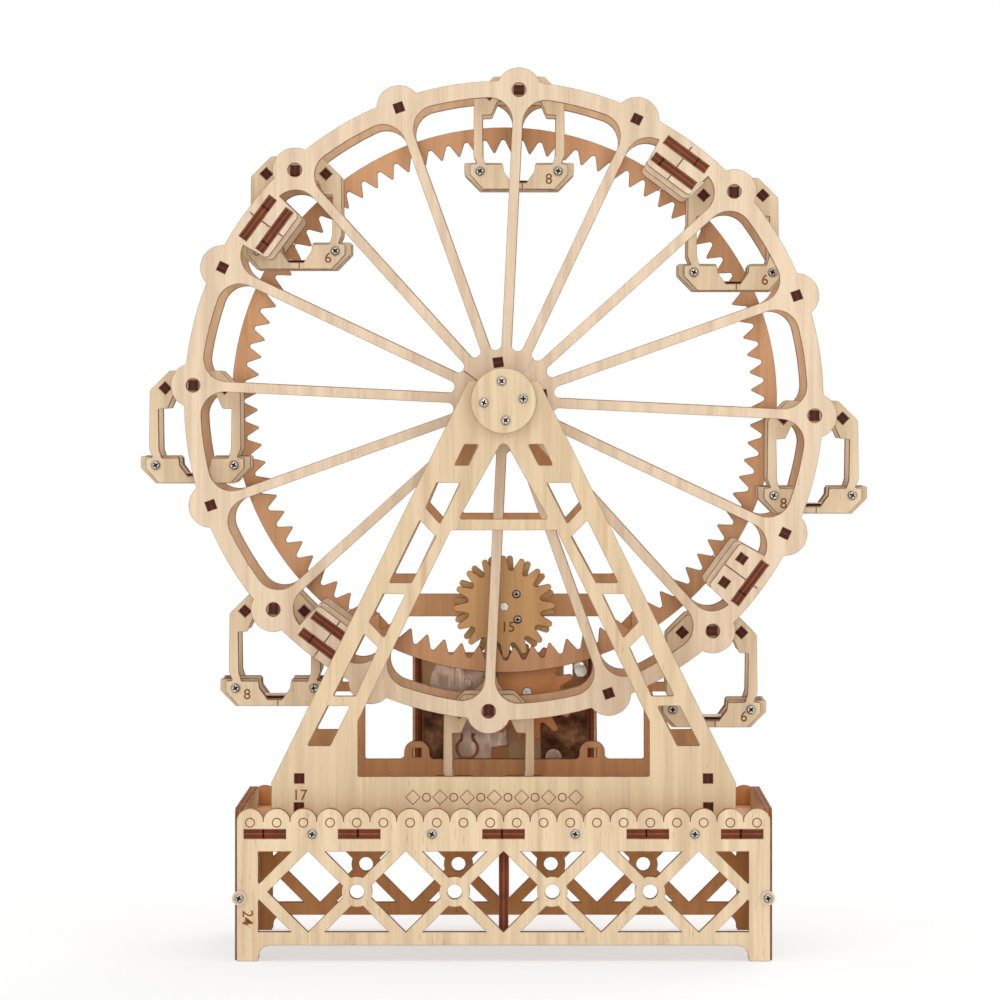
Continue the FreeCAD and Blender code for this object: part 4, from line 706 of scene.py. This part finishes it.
def pan_head(tree, given):
    """A domed head with a cross recess over a plain shank, its seat at z = 0."""
    height = given["Head Height"]
    head = add(tree, "GeometryNodeMeshCylinder", {"Vertices": HEAD_SIDES, "Side Segments": HEAD_ROWS,
                                                  "Fill Segments": 2, "Radius": given["Head Radius"],
                                                  "Depth": height})
    half = add(tree, "ShaderNodeMath", {0: height, 1: 0.5}, operation="MULTIPLY")
    lift = add(tree, "ShaderNodeCombineXYZ", {2: half})
    head = add(tree, "GeometryNodeTransform", {"Geometry": head, "Translation": lift})
    # the dome: the head narrows with a power of its height
    spot = add(tree, "GeometryNodeInputPosition")
    ways = add(tree, "ShaderNodeSeparateXYZ", {0: spot}).outputs
    share = add(tree, "ShaderNodeMath", {0: ways[2], 1: height}, operation="DIVIDE")
    share = add(tree, "ShaderNodeMath", {0: share, 1: DOME_POWER}, operation="POWER")
    narrow = add(tree, "ShaderNodeMath", {0: share, 1: -DOME_PINCH, 2: 1.0}, operation="MULTIPLY_ADD")
    scale = add(tree, "ShaderNodeCombineXYZ", {0: narrow, 1: narrow, 2: 1.0})
    domed = add(tree, "ShaderNodeVectorMath", {0: spot, 1: scale}, operation="MULTIPLY")
    head = add(tree, "GeometryNodeSetPosition", {"Geometry": head, "Position": domed})
    # the recess: two bars, joined to a cross and cut out
    reach = add(tree, "ShaderNodeMath", {0: given["Head Radius"], 1: RECESS_REACH}, operation="MULTIPLY")
    deep = add(tree, "ShaderNodeMath", {0: given["Recess Depth"], 1: 2.0}, operation="MULTIPLY")
    top = add(tree, "ShaderNodeCombineXYZ", {2: height})
    bars = []
    for along, across in ((reach, given["Recess Width"]), (given["Recess Width"], reach)):
        size = add(tree, "ShaderNodeCombineXYZ", {0: along, 1: across, 2: deep})
        cube = add(tree, "GeometryNodeMeshCube", {"Size": size})
        bars.append(add(tree, "GeometryNodeTransform", {"Geometry": cube, "Translation": top}))
    cross = add(tree, "GeometryNodeMeshBoolean", {"Mesh 2": bars}, operation="UNION", solver="EXACT")
    sunk = add(tree, "GeometryNodeMeshBoolean", {"Mesh 1": head, "Mesh 2": cross}, operation="DIFFERENCE",
               solver="EXACT")
    # its faces are those nearer to the axis than half its length, below the top and above the seat
    sides = [add(tree, "ShaderNodeMath", {0: ways[k]}, operation="ABSOLUTE") for k in (0, 1)]
    aside = add(tree, "ShaderNodeMath", {0: sides[0], 1: sides[1]}, operation="MAXIMUM")
    within = None
    for value, limit, share, test in ((aside, reach, 0.503, "LESS_THAN"),
                                      (ways[2], height, 0.99, "LESS_THAN"),
                                      (ways[2], height, 0.05, "GREATER_THAN")):
        limit = add(tree, "ShaderNodeMath", {0: limit, 1: share}, operation="MULTIPLY")
        passed = add(tree, "ShaderNodeMath", {0: value, 1: limit}, operation=test)
        within = (add(tree, "ShaderNodeMath", {0: within, 1: passed}, operation="MULTIPLY") if within
                  else passed)
    marked = add(tree, "GeometryNodeStoreNamedAttribute",
                 {"Geometry": sunk, "Name": "recess", "Value": within}, data_type="BOOLEAN", domain="FACE")
    shank = add(tree, "GeometryNodeMeshCylinder", {"Vertices": SHANK_SIDES, "Radius": given["Shank Radius"],
                                                   "Depth": given["Shank Length"]})
    under = add(tree, "ShaderNodeMath", {0: given["Shank Length"], 1: -0.5}, operation="MULTIPLY")
    drop = add(tree, "ShaderNodeCombineXYZ", {2: under})
    shank = add(tree, "GeometryNodeTransform", {"Geometry": shank, "Translation": drop})
    return add(tree, "GeometryNodeJoinGeometry", {0: [marked, shank]})


def punched_disc(tree, given):
    """A flat disc or a polygon with a round hole, from z = 0 up."""
    outer = add(tree, "GeometryNodeCurvePrimitiveCircle", {"Resolution": given["Sides"],
                                                           "Radius": given["Outer Radius"]})
    bore = add(tree, "GeometryNodeCurvePrimitiveCircle", {"Resolution": BORE_SIDES,
                                                          "Radius": given["Bore Radius"]})
    both = add(tree, "GeometryNodeJoinGeometry", {0: [outer, bore]})
    flat = add(tree, "GeometryNodeFillCurve", {"Curve": both}, mode="TRIANGLES")
    raised = add(tree, "GeometryNodeExtrudeMesh", {"Mesh": flat, "Offset Scale": given["Thickness"],
                                                   "Individual": False}, mode="FACES")
    under = add(tree, "GeometryNodeFlipFaces", {"Mesh": flat})
    closed = add(tree, "GeometryNodeJoinGeometry", {0: [raised, under]})
    return add(tree, "GeometryNodeMergeByDistance", {"Geometry": closed, "Distance": SAME_SPOT * MM})


def stamped_outline(tree, given):
    """A closed outline of square section, half of it above z = 0: a ring, or a lozenge of four sides."""
    line = add(tree, "GeometryNodeCurvePrimitiveCircle", {"Resolution": given["Sides"],
                                                          "Radius": given["Radius"]})
    section = add(tree, "GeometryNodeCurvePrimitiveQuadrilateral", {"Width": given["Stroke"],
                                                                    "Height": given["Depth"]})
    return add(tree, "GeometryNodeCurveToMesh", {"Curve": line, "Profile Curve": section})


def stamped_bar(tree, given):
    """A short straight stroke, half of it above z = 0."""
    size = add(tree, "ShaderNodeCombineXYZ", {0: given["Stroke"], 1: given["Length"], 2: given["Depth"]})
    return add(tree, "GeometryNodeMeshCube", {"Size": size})


def stamps(kind, values, spots):
    """Cutters for engraved marks of one kind; Depth is doubled, as half of a mark lies above the face."""
    birch = bpy.context.scene.toy_birch
    sizes = {"Radius": 1.0, "Stroke": 1.0, "Depth": 1.0, "Length": 1.0, "Sides": 4}
    shape = stamped_bar if kind == "bar" else stamped_outline
    tree = repeated("stamp_" + kind, sizes, shape,
                    [(engraved_line(birch), None)])
    common = {"Stroke": birch.stroke, "Depth": 2 * birch.engraving}
    return grow(tree, dict(common, **values), spots)


def number(text, x, y, z, turn=0.0):
    """Cutter for an engraved part number on a face that looks to -Y."""
    birch = bpy.context.scene.toy_birch
    curve = bpy.data.curves.new("number_" + text, "FONT")
    curve.body, curve.align_x, curve.align_y = text, "CENTER", "CENTER"
    curve.size = birch.figures / FIGURE_SHARE
    curve.extrude, curve.offset = birch.engraving, birch.boldness
    curve.resolution_u = 4
    letters = bpy.data.objects.new("number", curve)
    bpy.context.collection.objects.link(letters)
    bpy.context.view_layer.update()
    mesh = bpy.data.meshes.new_from_object(letters.evaluated_get(bpy.context.evaluated_depsgraph_get()))
    bpy.data.objects.remove(letters)
    upright = Matrix.Rotation(math.radians(90), 4, "X") @ Matrix.Rotation(math.radians(turn), 4, "Z")
    mesh.transform(Matrix.Translation(place(x, y, z)) @ upright)
    closed = bmesh.new()
    closed.from_mesh(mesh)
    bmesh.ops.remove_doubles(closed, verts=closed.verts, dist=SAME_SPOT * MM)
    closed.to_mesh(mesh)
    closed.free()
    return mesh


def joined(name, meshes, materials):
    """Several meshes as one; each mesh comes with the number of the material its faces get, or with None
    to keep the materials it has."""
    whole = bmesh.new()
    for mesh, index in meshes:
        start = len(whole.faces)
        whole.from_mesh(mesh)
        whole.faces.ensure_lookup_table()
        own = {k: materials.index(material) for k, material in enumerate(mesh.materials)
               if material in materials}
        for face in whole.faces[start:]:
            kept = own.get(face.material_index, face.material_index)
            face.material_index = kept if index is None else index
    data = bpy.data.meshes.new(name)
    whole.to_mesh(data)
    whole.free()
    for material in materials:
        data.materials.append(material)
    smooth(data, angle=32.0)
    return data


# ---------------------------------------------------------------- operators, one for each group of pieces
class ToyBuildOperator:
    """What every building operator has in common."""

    bl_options = {"REGISTER", "UNDO"}

    def execute(self, context):
        scene = context.scene
        self.build(scene.toy_birch, scene.toy_hardware)
        return {"FINISHED"}


def crest_marks(half, count, spot, facing):
    """Rings under the scallops of a panel's crest and slits at the valleys between them."""
    pitch = 2 * half / count
    rings = [(spot((k - (count - 1) / 2) * pitch, CREST_Z), facing) for k in range(count)]
    slits = [(spot((k - count / 2) * pitch, VALLEY_Z), facing) for k in range(1, count)]
    return [stamps("ring", {"Radius": CREST_RING_R * MM, "Sides": RING_SIDES}, rings),
            stamps("bar", {"Length": VALLEY_SLIT * MM}, slits)]


class TOY_OT_base_panels(ToyBuildOperator, bpy.types.Operator):
    """Four lattice panels with engraved rings under their scalloped crests"""

    bl_idname = "toy.base_panels"
    bl_label = "Base panels"

    def build(self, birch, hardware):
        def long_crest(way):
            return crest_marks(CREST_HALF, CREST_SCALLOPS,
                               lambda u, z: place(u, way * PANEL_FACE, z), (0, way, 0))

        text, x, z = PANEL_NUMBER
        mark = number(text, x, -PANEL_FACE, z, turn=-90)
        dress("base_front_panel", "panel", cutters=long_crest(-1) + [mark])
        dress("base_rear_panel", "rear_panel", cutters=long_crest(1))
        ends = []
        for side in (-1, 1):
            ends += crest_marks(END_CREST_HALF, END_CREST_SCALLOPS,
                                lambda u, z: place(side * END_FACE, u, z), (side, 0, 0))
        dress("base_end_panels", "panel", cutters=ends)


class TOY_OT_base_box(ToyBuildOperator, bpy.types.Operator):
    """Deck with its split tabs and the rib under it"""

    bl_idname = "toy.base_box"
    bl_label = "Deck and rib"

    def build(self, birch, hardware):
        dress("base_deck", "rear_panel", grain=(1, 0, 0), wall="char")
        dress("base_centre_rib", "rear_panel", wall="char")


class TOY_OT_towers(ToyBuildOperator, bpy.types.Operator):
    """Front and rear towers with the sticks between them; the front foot bar has a plain ornament"""

    bl_idname = "toy.towers"
    bl_label = "Towers"

    def build(self, birch, hardware):
        step = (BAR_HIGH_X - BAR_LOW_X) / (BAR_MARKS - 1)
        spots = [(place(BAR_LOW_X + step * k, -TOWER_FACE, BAR_Z), (0, -1, 0)) for k in range(BAR_MARKS)]
        text, x, z = TOWER_NUMBER
        marks = [stamps("lozenge", {"Radius": BAR_LOZENGE_R * MM, "Sides": 4}, spots[::2]),
                 stamps("ring", {"Radius": BAR_RING_R * MM, "Sides": RING_SIDES}, spots[1::2]),
                 number(text, x, -TOWER_FACE, z)]
        dress("front_tower", "tower", cutters=marks)
        dress("rear_tower", "rear_tower")
        dress("tower_ties", "tower", wall="char")


class TOY_OT_wheel(ToyBuildOperator, bpy.types.Operator):
    """Front and rear rims, the plates and keys over their seams, and the sticks between them"""

    bl_idname = "toy.wheel"
    bl_label = "Wheel rims"

    def build(self, birch, hardware):
        dress("front_rim", "rim")
        dress("rear_rim", "rear_rim")
        dress("splice_doublers", "rim")
        dress("splice_keys", "rim", wall="char")
        dress("wheel_ties", "rim", wall="char")


class TOY_OT_ring_gear(ToyBuildOperator, bpy.types.Operator):
    """Internal ring gear in four segments with its dowels"""

    bl_idname = "toy.ring_gear"
    bl_label = "Ring gear"

    def build(self, birch, hardware):
        dress("ring_gear", "gear")
        machined("ring_gear_dowels", finish_for("birch_dowel_turned", turned_birch, tuple(birch.gear)), 0.12)


class TOY_OT_hub(ToyBuildOperator, bpy.types.Operator):
    """Stacked hub discs and their covers"""

    bl_idname = "toy.hub"
    bl_label = "Hub"

    def build(self, birch, hardware):
        layers = list(zip(HUB_LEVELS, HUB_LEVELS[1:]))
        layers += [(-high, -low) for low, high in layers]
        dress("hub_spacers", "hub", layers=layers)
        dress("hub_covers", "hub")


class TOY_OT_gears(ToyBuildOperator, bpy.types.Operator):
    """Plywood pinions and the output gear"""

    bl_idname = "toy.gears"
    bl_label = "Plywood gears"

    def build(self, birch, hardware):
        text, x, z = PINION_NUMBER
        dress("drive_pinion", "pinion", cutters=[number(text, x, PINION_FACE, z)])
        dress("transfer_pinion", "pinion", grain=(1, 0, 0.4))
        dress("output_gear", "movement", grain=(0.5, 0, 1))


class TOY_OT_movement(ToyBuildOperator, bpy.types.Operator):
    """Housing, boards, plates, pillars, wheels and fly of the low movement"""

    bl_idname = "toy.movement"
    bl_label = "Movement"

    def build(self, birch, hardware):
        dress("housing_sides", "rear_tower", wall="veneer")
        dress("movement_board", "board")
        dress("movement_back_board", "rear_tower", grain=(1, 0, 0))
        # cold-rolled sheet, brushed up and down: a warm grey with fine upright lines
        plate = finish_for("brushed_steel_sheet", metal, tuple(hardware.plate), 0.3, 0.6,
                           linear("#8C7564"), 0.4, (1.0, 1.0, 0.06))
        machined("movement_front_plate", plate, 0.12)
        # sheet brass browned by heat: nearly black in the patches that were never rubbed
        bridge = finish_for("browned_brass_sheet", metal, tuple(hardware.bridge), 0.4, 0.8,
                            linear("#2C1A12"), 0.85)
        machined("train_bridges", bridge, 0.12)
        machined("movement_pillars", zinc_finish(hardware), 0.1)
        for node in ("great_wheel", "second_wheel", "governor_fly"):
            machined(node, aged_brass(hardware), 0.05)


class TOY_OT_crank(ToyBuildOperator, bpy.types.Operator):
    """Arbor, arm, pin and turned knob of the crank"""

    bl_idname = "toy.crank"
    bl_label = "Crank"

    def build(self, birch, hardware):
        dress("crank_arm", "rear_tower")
        machined("crank_arbor", zinc_finish(hardware), 0.1)
        machined("crank_pin", zinc_finish(hardware), 0.1)
        machined("crank_knob", finish_for("birch_turned_waxed", turned_birch, tuple(birch.panel)), 0.0)


class TOY_OT_gondolas(ToyBuildOperator, bpy.types.Operator):
    """Eight hanging gondolas; a short line is engraved under each notch, and most have a part number"""

    bl_idname = "toy.gondolas"
    bl_label = "Gondolas"

    def build(self, birch, hardware):
        for index in range(1, 9):
            name = "gondola_%d" % index
            x, z = on_circle(PIVOT_R, PIVOT_ANGLE + 45 * (index - 1))
            under_notch = place(x + NOTCH_LINE_X, -HANGER_FACE, z - NOTCH_LINE_DROP)
            marks = [stamps("bar", {"Length": NOTCH_LINE * MM}, [(under_notch, (0, -1, 0))])]
            if index in GONDOLA_NUMBERS:
                text, across, up = GONDOLA_NUMBERS[index]
                marks.append(number(text, x + across, -HANGER_FACE, z + up))
            dress(name + "_hangers", "cabin", cutters=marks, wall="char")
            dress(name + "_tub", "cabin", wall="char")


class TOY_OT_fasteners(ToyBuildOperator, bpy.types.Operator):
    """Pan-head screws, square and round nuts and birch washers"""

    bl_idname = "toy.fasteners"
    bl_label = "Fasteners"

    def build(self, birch, hardware):
        zinc = zinc_finish(hardware)
        # plated steel that hardly any light reaches: nearly black beside the bright head
        recess = finish_for("steel_recess_shadowed", metal, linear("#332C27"), 0.5, 0.5, linear("#1E1916"),
                            0.5)
        finishes = ply_finishes(birch, "panel")
        materials = [zinc, recess, finishes[WALL], finishes[VENEER]]
        screw = repeated("pan_head_screw", {
            "Head Radius": 1.0, "Head Height": 1.0, "Shank Radius": 1.0, "Shank Length": 1.0,
            "Recess Width": 1.0, "Recess Depth": 1.0}, pan_head, [(zinc, None), (recess, "recess")])
        disc = repeated("punched_disc", {"Outer Radius": 1.0, "Bore Radius": 1.0, "Thickness": 1.0,
                                         "Sides": 4}, punched_disc, [(zinc, None)])

        def screws(spots, shank, seed, head=None, radius=None, height=None):
            sizes = {"Head Radius": head or hardware.head_radius, "Shank Length": shank * MM,
                     "Head Height": height or hardware.head_height,
                     "Shank Radius": radius or hardware.shank_radius, "Recess Width": hardware.recess_width,
                     "Recess Depth": height * SMALL_RECESS if height else hardware.recess_depth,
                     "Random Turn": math.pi / 2, "Seed": seed}
            return grow(screw, sizes, spots)

        def discs(spots, outer, thick, sides, turn=0.0):
            return grow(disc, {"Outer Radius": outer, "Bore Radius": NUT_BORE_R * MM, "Thickness": thick * MM,
                               "Sides": sides, "Turn": turn}, spots)

        sets = {"base_bolts": self.base_bolts(hardware, screws, discs),
                "hub_bolts": self.hub_bolts(screws, discs)}
        for index in range(1, 9):
            x, z = on_circle(PIVOT_R, PIVOT_ANGLE + 45 * (index - 1))
            spots = [(place(x + dx, way * HANGER_FACE, z - GONDOLA_SCREW_DROP), (0, way, 0))
                     for dx in (-GONDOLA_SCREW_X, GONDOLA_SCREW_X) for way in (-1, 1)]
            sets["gondola_%d_screws" % index] = [
                (screws(spots, GONDOLA_SHANK, 10 + index, radius=GONDOLA_SHANK_R * MM), None)]
        sets["pinion_axle"] = self.pinion_axle(screws)
        for node, pieces in sets.items():
            show(node + "_set", joined(node + "_set", pieces, materials), node)

    def base_bolts(self, hardware, screws, discs):
        """Bolts through the long panels into the deck and the end panels, with their nuts and washers."""
        deck, side, washers, deck_nuts, side_nuts = [], [], [], [], []
        for way in (-1, 1):
            out = (0, way, 0)
            for x in DECK_BOLTS_X:
                deck.append((place(x, way * PANEL_FACE, DECK_BOLT_Z), out))
                deck_nuts.append((place(x, way * DECK_NUT_Y, DECK_BOLT_Z), out))
            for x in SIDE_BOLTS_X:
                side.append((place(x, way * (PANEL_FACE + WASHER_THICK), SIDE_BOLT_Z), out))
                washers.append((place(x, way * PANEL_FACE, SIDE_BOLT_Z), out))
                side_nuts.append((place(x, way * SIDE_NUT_Y, SIDE_BOLT_Z), out))
        ring = discs(washers, hardware.washer_radius, WASHER_THICK, WASHER_SIDES)
        ring.materials.clear()
        for polygon in ring.polygons:
            polygon.material_index = RING_FACE if abs(polygon.normal.y) > 0.9 else RING_WALL
        pieces = [(screws(deck, DECK_SHANK, 3), None), (screws(side, SIDE_SHANK, 4), None), (ring, None)]
        corner = hardware.nut_side / 2 * math.sqrt(2)
        for spots, squash in ((deck_nuts, (1, 1, NUT_NARROWED)), (side_nuts, (NUT_NARROWED, 1, 1))):
            nuts = discs(spots, corner, NUT_THICK, 4, math.pi / 4)
            for vert in nuts.vertices:
                centre = min((spot for spot, _ in spots), key=lambda spot: (spot - vert.co).length)
                offset = vert.co - centre
                if max(abs(offset.x), abs(offset.z)) > NUT_BORE_ZONE * MM:
                    vert.co = centre + Vector(offset[k] * squash[k] for k in range(3))
            pieces.append((nuts, ZINC))
        return pieces

    def hub_bolts(self, screws, discs):
        """Four bolts through each hub, with round nuts inside the wheel."""
        heads, nuts = [], []
        for way in (-1, 1):
            for step in range(4):
                turn = math.radians(HUB_BOLT_TURN + 90 * step)
                x, z = HUB_BOLT_R * math.sin(turn), HUB_Z + HUB_BOLT_R * math.cos(turn)
                heads.append((place(x, way * HUB_HEAD_Y, z), (0, way, 0)))
                nuts.append((place(x, way * HUB_NUT_Y, z), (0, way, 0)))
        return [(screws(heads, HUB_SHANK, 5), None),
                (discs(nuts, HUB_NUT_R * MM, NUT_THICK, HUB_NUT_SIDES), ZINC)]

    def pinion_axle(self, screws):
        """The pinions' axle as it is, and two small screws in place of the plain ones beside it."""
        axle = merged("pinion_axle")
        for _, verts in list(separate_boards(axle)):
            middle = sum((vert.co for vert in verts), Vector()) / len(verts)
            if abs(middle.x) > AXLE_ZONE * MM:
                bmesh.ops.delete(axle, geom=verts, context="VERTS")
        rod = bpy.data.meshes.new("pinion_axle_rod")
        axle.to_mesh(rod)
        axle.free()
        spots = [(place(x, PINION_SCREW_Y, PINION_Z + up), (0, -1, 0)) for x, up in PINION_SCREWS]
        return [(rod, ZINC), (screws(spots, PINION_SHANK, 30, head=PINION_HEAD_R * MM,
                                     radius=PINION_SHANK_R * MM, height=PINION_HEAD_HIGH * MM), None)]


class TOY_OT_stage(ToyBuildOperator, bpy.types.Operator):
    """Pale floor, white surroundings, soft lamps and the camera"""

    bl_idname = "toy.stage"
    bl_label = "Stage"

    def build(self, birch, hardware):
        scene = bpy.context.scene
        studio = scene.toy_studio
        mesh = bpy.data.meshes.new("studio_floor")
        corners = [(-1, -1), (1, -1), (1, 1), (-1, 1)]
        mesh.from_pydata([(x * FLOOR_REACH, y * FLOOR_REACH, 0) for x, y in corners], [], [(0, 1, 2, 3)])
        floor = bpy.data.objects.new("studio_floor", mesh)
        scene.collection.objects.link(floor)
        mesh.materials.append(self.paper())
        floor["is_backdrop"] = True
        self.surroundings(scene, studio.ambient)
        for label, (spot, size) in LAMPS.items():
            light = bpy.data.lights.new("studio_" + label, "AREA")
            light.energy, light.size = getattr(studio, label), size
            lamp = bpy.data.objects.new("studio_" + label, light)
            aim = Vector(LAMPS_AIM) - Vector(spot)
            lamp.matrix_world = Matrix.Translation(spot) @ aim.to_track_quat("-Z", "Y").to_matrix().to_4x4()
            scene.collection.objects.link(lamp)
        data = bpy.data.cameras.new("studio_camera")
        data.sensor_width, data.lens = 36.0, studio.lens
        data.shift_x, data.shift_y = CAMERA_SHIFT
        data.clip_start, data.clip_end = 0.05, 30.0
        camera = bpy.data.objects.new("studio_camera", data)
        camera.location = (studio.aside, -studio.distance, studio.height)
        camera.rotation_euler = (math.radians(90), 0, 0)
        scene.collection.objects.link(camera)
        scene.camera = camera
        scene.view_settings.view_transform = "Standard"

    def paper(self):
        """Matt white paper that fades to plain white away from the toy and still takes its shadow."""
        material, tree = blank("studio_paper")
        spot = add(tree, "ShaderNodeTexCoord").outputs["Object"]
        away = add(tree, "ShaderNodeVectorMath", {0: spot}, operation="LENGTH").outputs["Value"]
        fade = shares(tree, (away, 0.12, 0.6, 0.6, 1.0))
        share = add(tree, "ShaderNodeMath", {0: looked_at(tree), 1: fade}, operation="MULTIPLY")
        diffuse = add(tree, "ShaderNodeBsdfDiffuse", {"Color": (0.97, 0.97, 0.97, 1)})
        white = add(tree, "ShaderNodeEmission", {"Color": (1, 1, 1, 1), "Strength": 1.0})
        both = add(tree, "ShaderNodeMixShader", {0: share, 1: diffuse, 2: white})
        add(tree, "ShaderNodeOutputMaterial", {"Surface": both})
        return material

    def surroundings(self, scene, ambient):
        """White all round for the eye and in the toy's metal, and dimmer where it only lights the toy."""
        world = bpy.data.worlds.new("studio_world")
        world.use_nodes = True
        tree = world.node_tree
        tree.nodes.clear()
        strength = shares(tree, (looked_at(tree), 0.0, 1.0, ambient, 1.0))
        light = add(tree, "ShaderNodeBackground", {"Color": (1, 1, 1, 1), "Strength": strength})
        add(tree, "ShaderNodeOutputWorld", {"Surface": light})
        scene.world = world


OPERATORS = (TOY_OT_base_panels, TOY_OT_base_box, TOY_OT_towers, TOY_OT_wheel, TOY_OT_ring_gear, TOY_OT_hub,
             TOY_OT_gears, TOY_OT_movement, TOY_OT_crank, TOY_OT_gondolas, TOY_OT_fasteners, TOY_OT_stage)


class TOY_PT_ferris_wheel(bpy.types.Panel):
    """Buttons that build the toy, in order"""

    bl_idname = "TOY_PT_ferris_wheel"
    bl_label = "Ferris Wheel Toy"
    bl_space_type = "VIEW_3D"
    bl_region_type = "UI"
    bl_category = "Ferris Wheel"

    def draw(self, context):
        column = self.layout.column(align=True)
        for operator in OPERATORS:
            column.operator(operator.bl_idname)
        for group in (context.scene.toy_birch, context.scene.toy_hardware, context.scene.toy_studio):
            box = self.layout.box()
            for name in group.__annotations__:
                box.prop(group, name)


SETTINGS = {"toy_birch": ToyBirchSettings, "toy_hardware": ToyHardwareSettings,
            "toy_studio": ToyStudioSettings}


def register():
    for kind in (*SETTINGS.values(), *OPERATORS, TOY_PT_ferris_wheel):
        bpy.utils.register_class(kind)
    for name, kind in SETTINGS.items():
        setattr(bpy.types.Scene, name, bpy.props.PointerProperty(type=kind))


def unregister():
    for name in SETTINGS:
        delattr(bpy.types.Scene, name)
    for kind in reversed((*SETTINGS.values(), *OPERATORS, TOY_PT_ferris_wheel)):
        bpy.utils.unregister_class(kind)


def main():
    """Build every piece in order."""
    register()
    for operator in OPERATORS:
        family, name = operator.bl_idname.split(".")
        if getattr(getattr(bpy.ops, family), name)() != {"FINISHED"}:
            raise RuntimeError("%s did not finish" % operator.bl_idname)
    boxes = [[list(corner) for corner in box] for box in (CAD_BOX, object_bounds())]


if __name__ == "__main__":
    main()
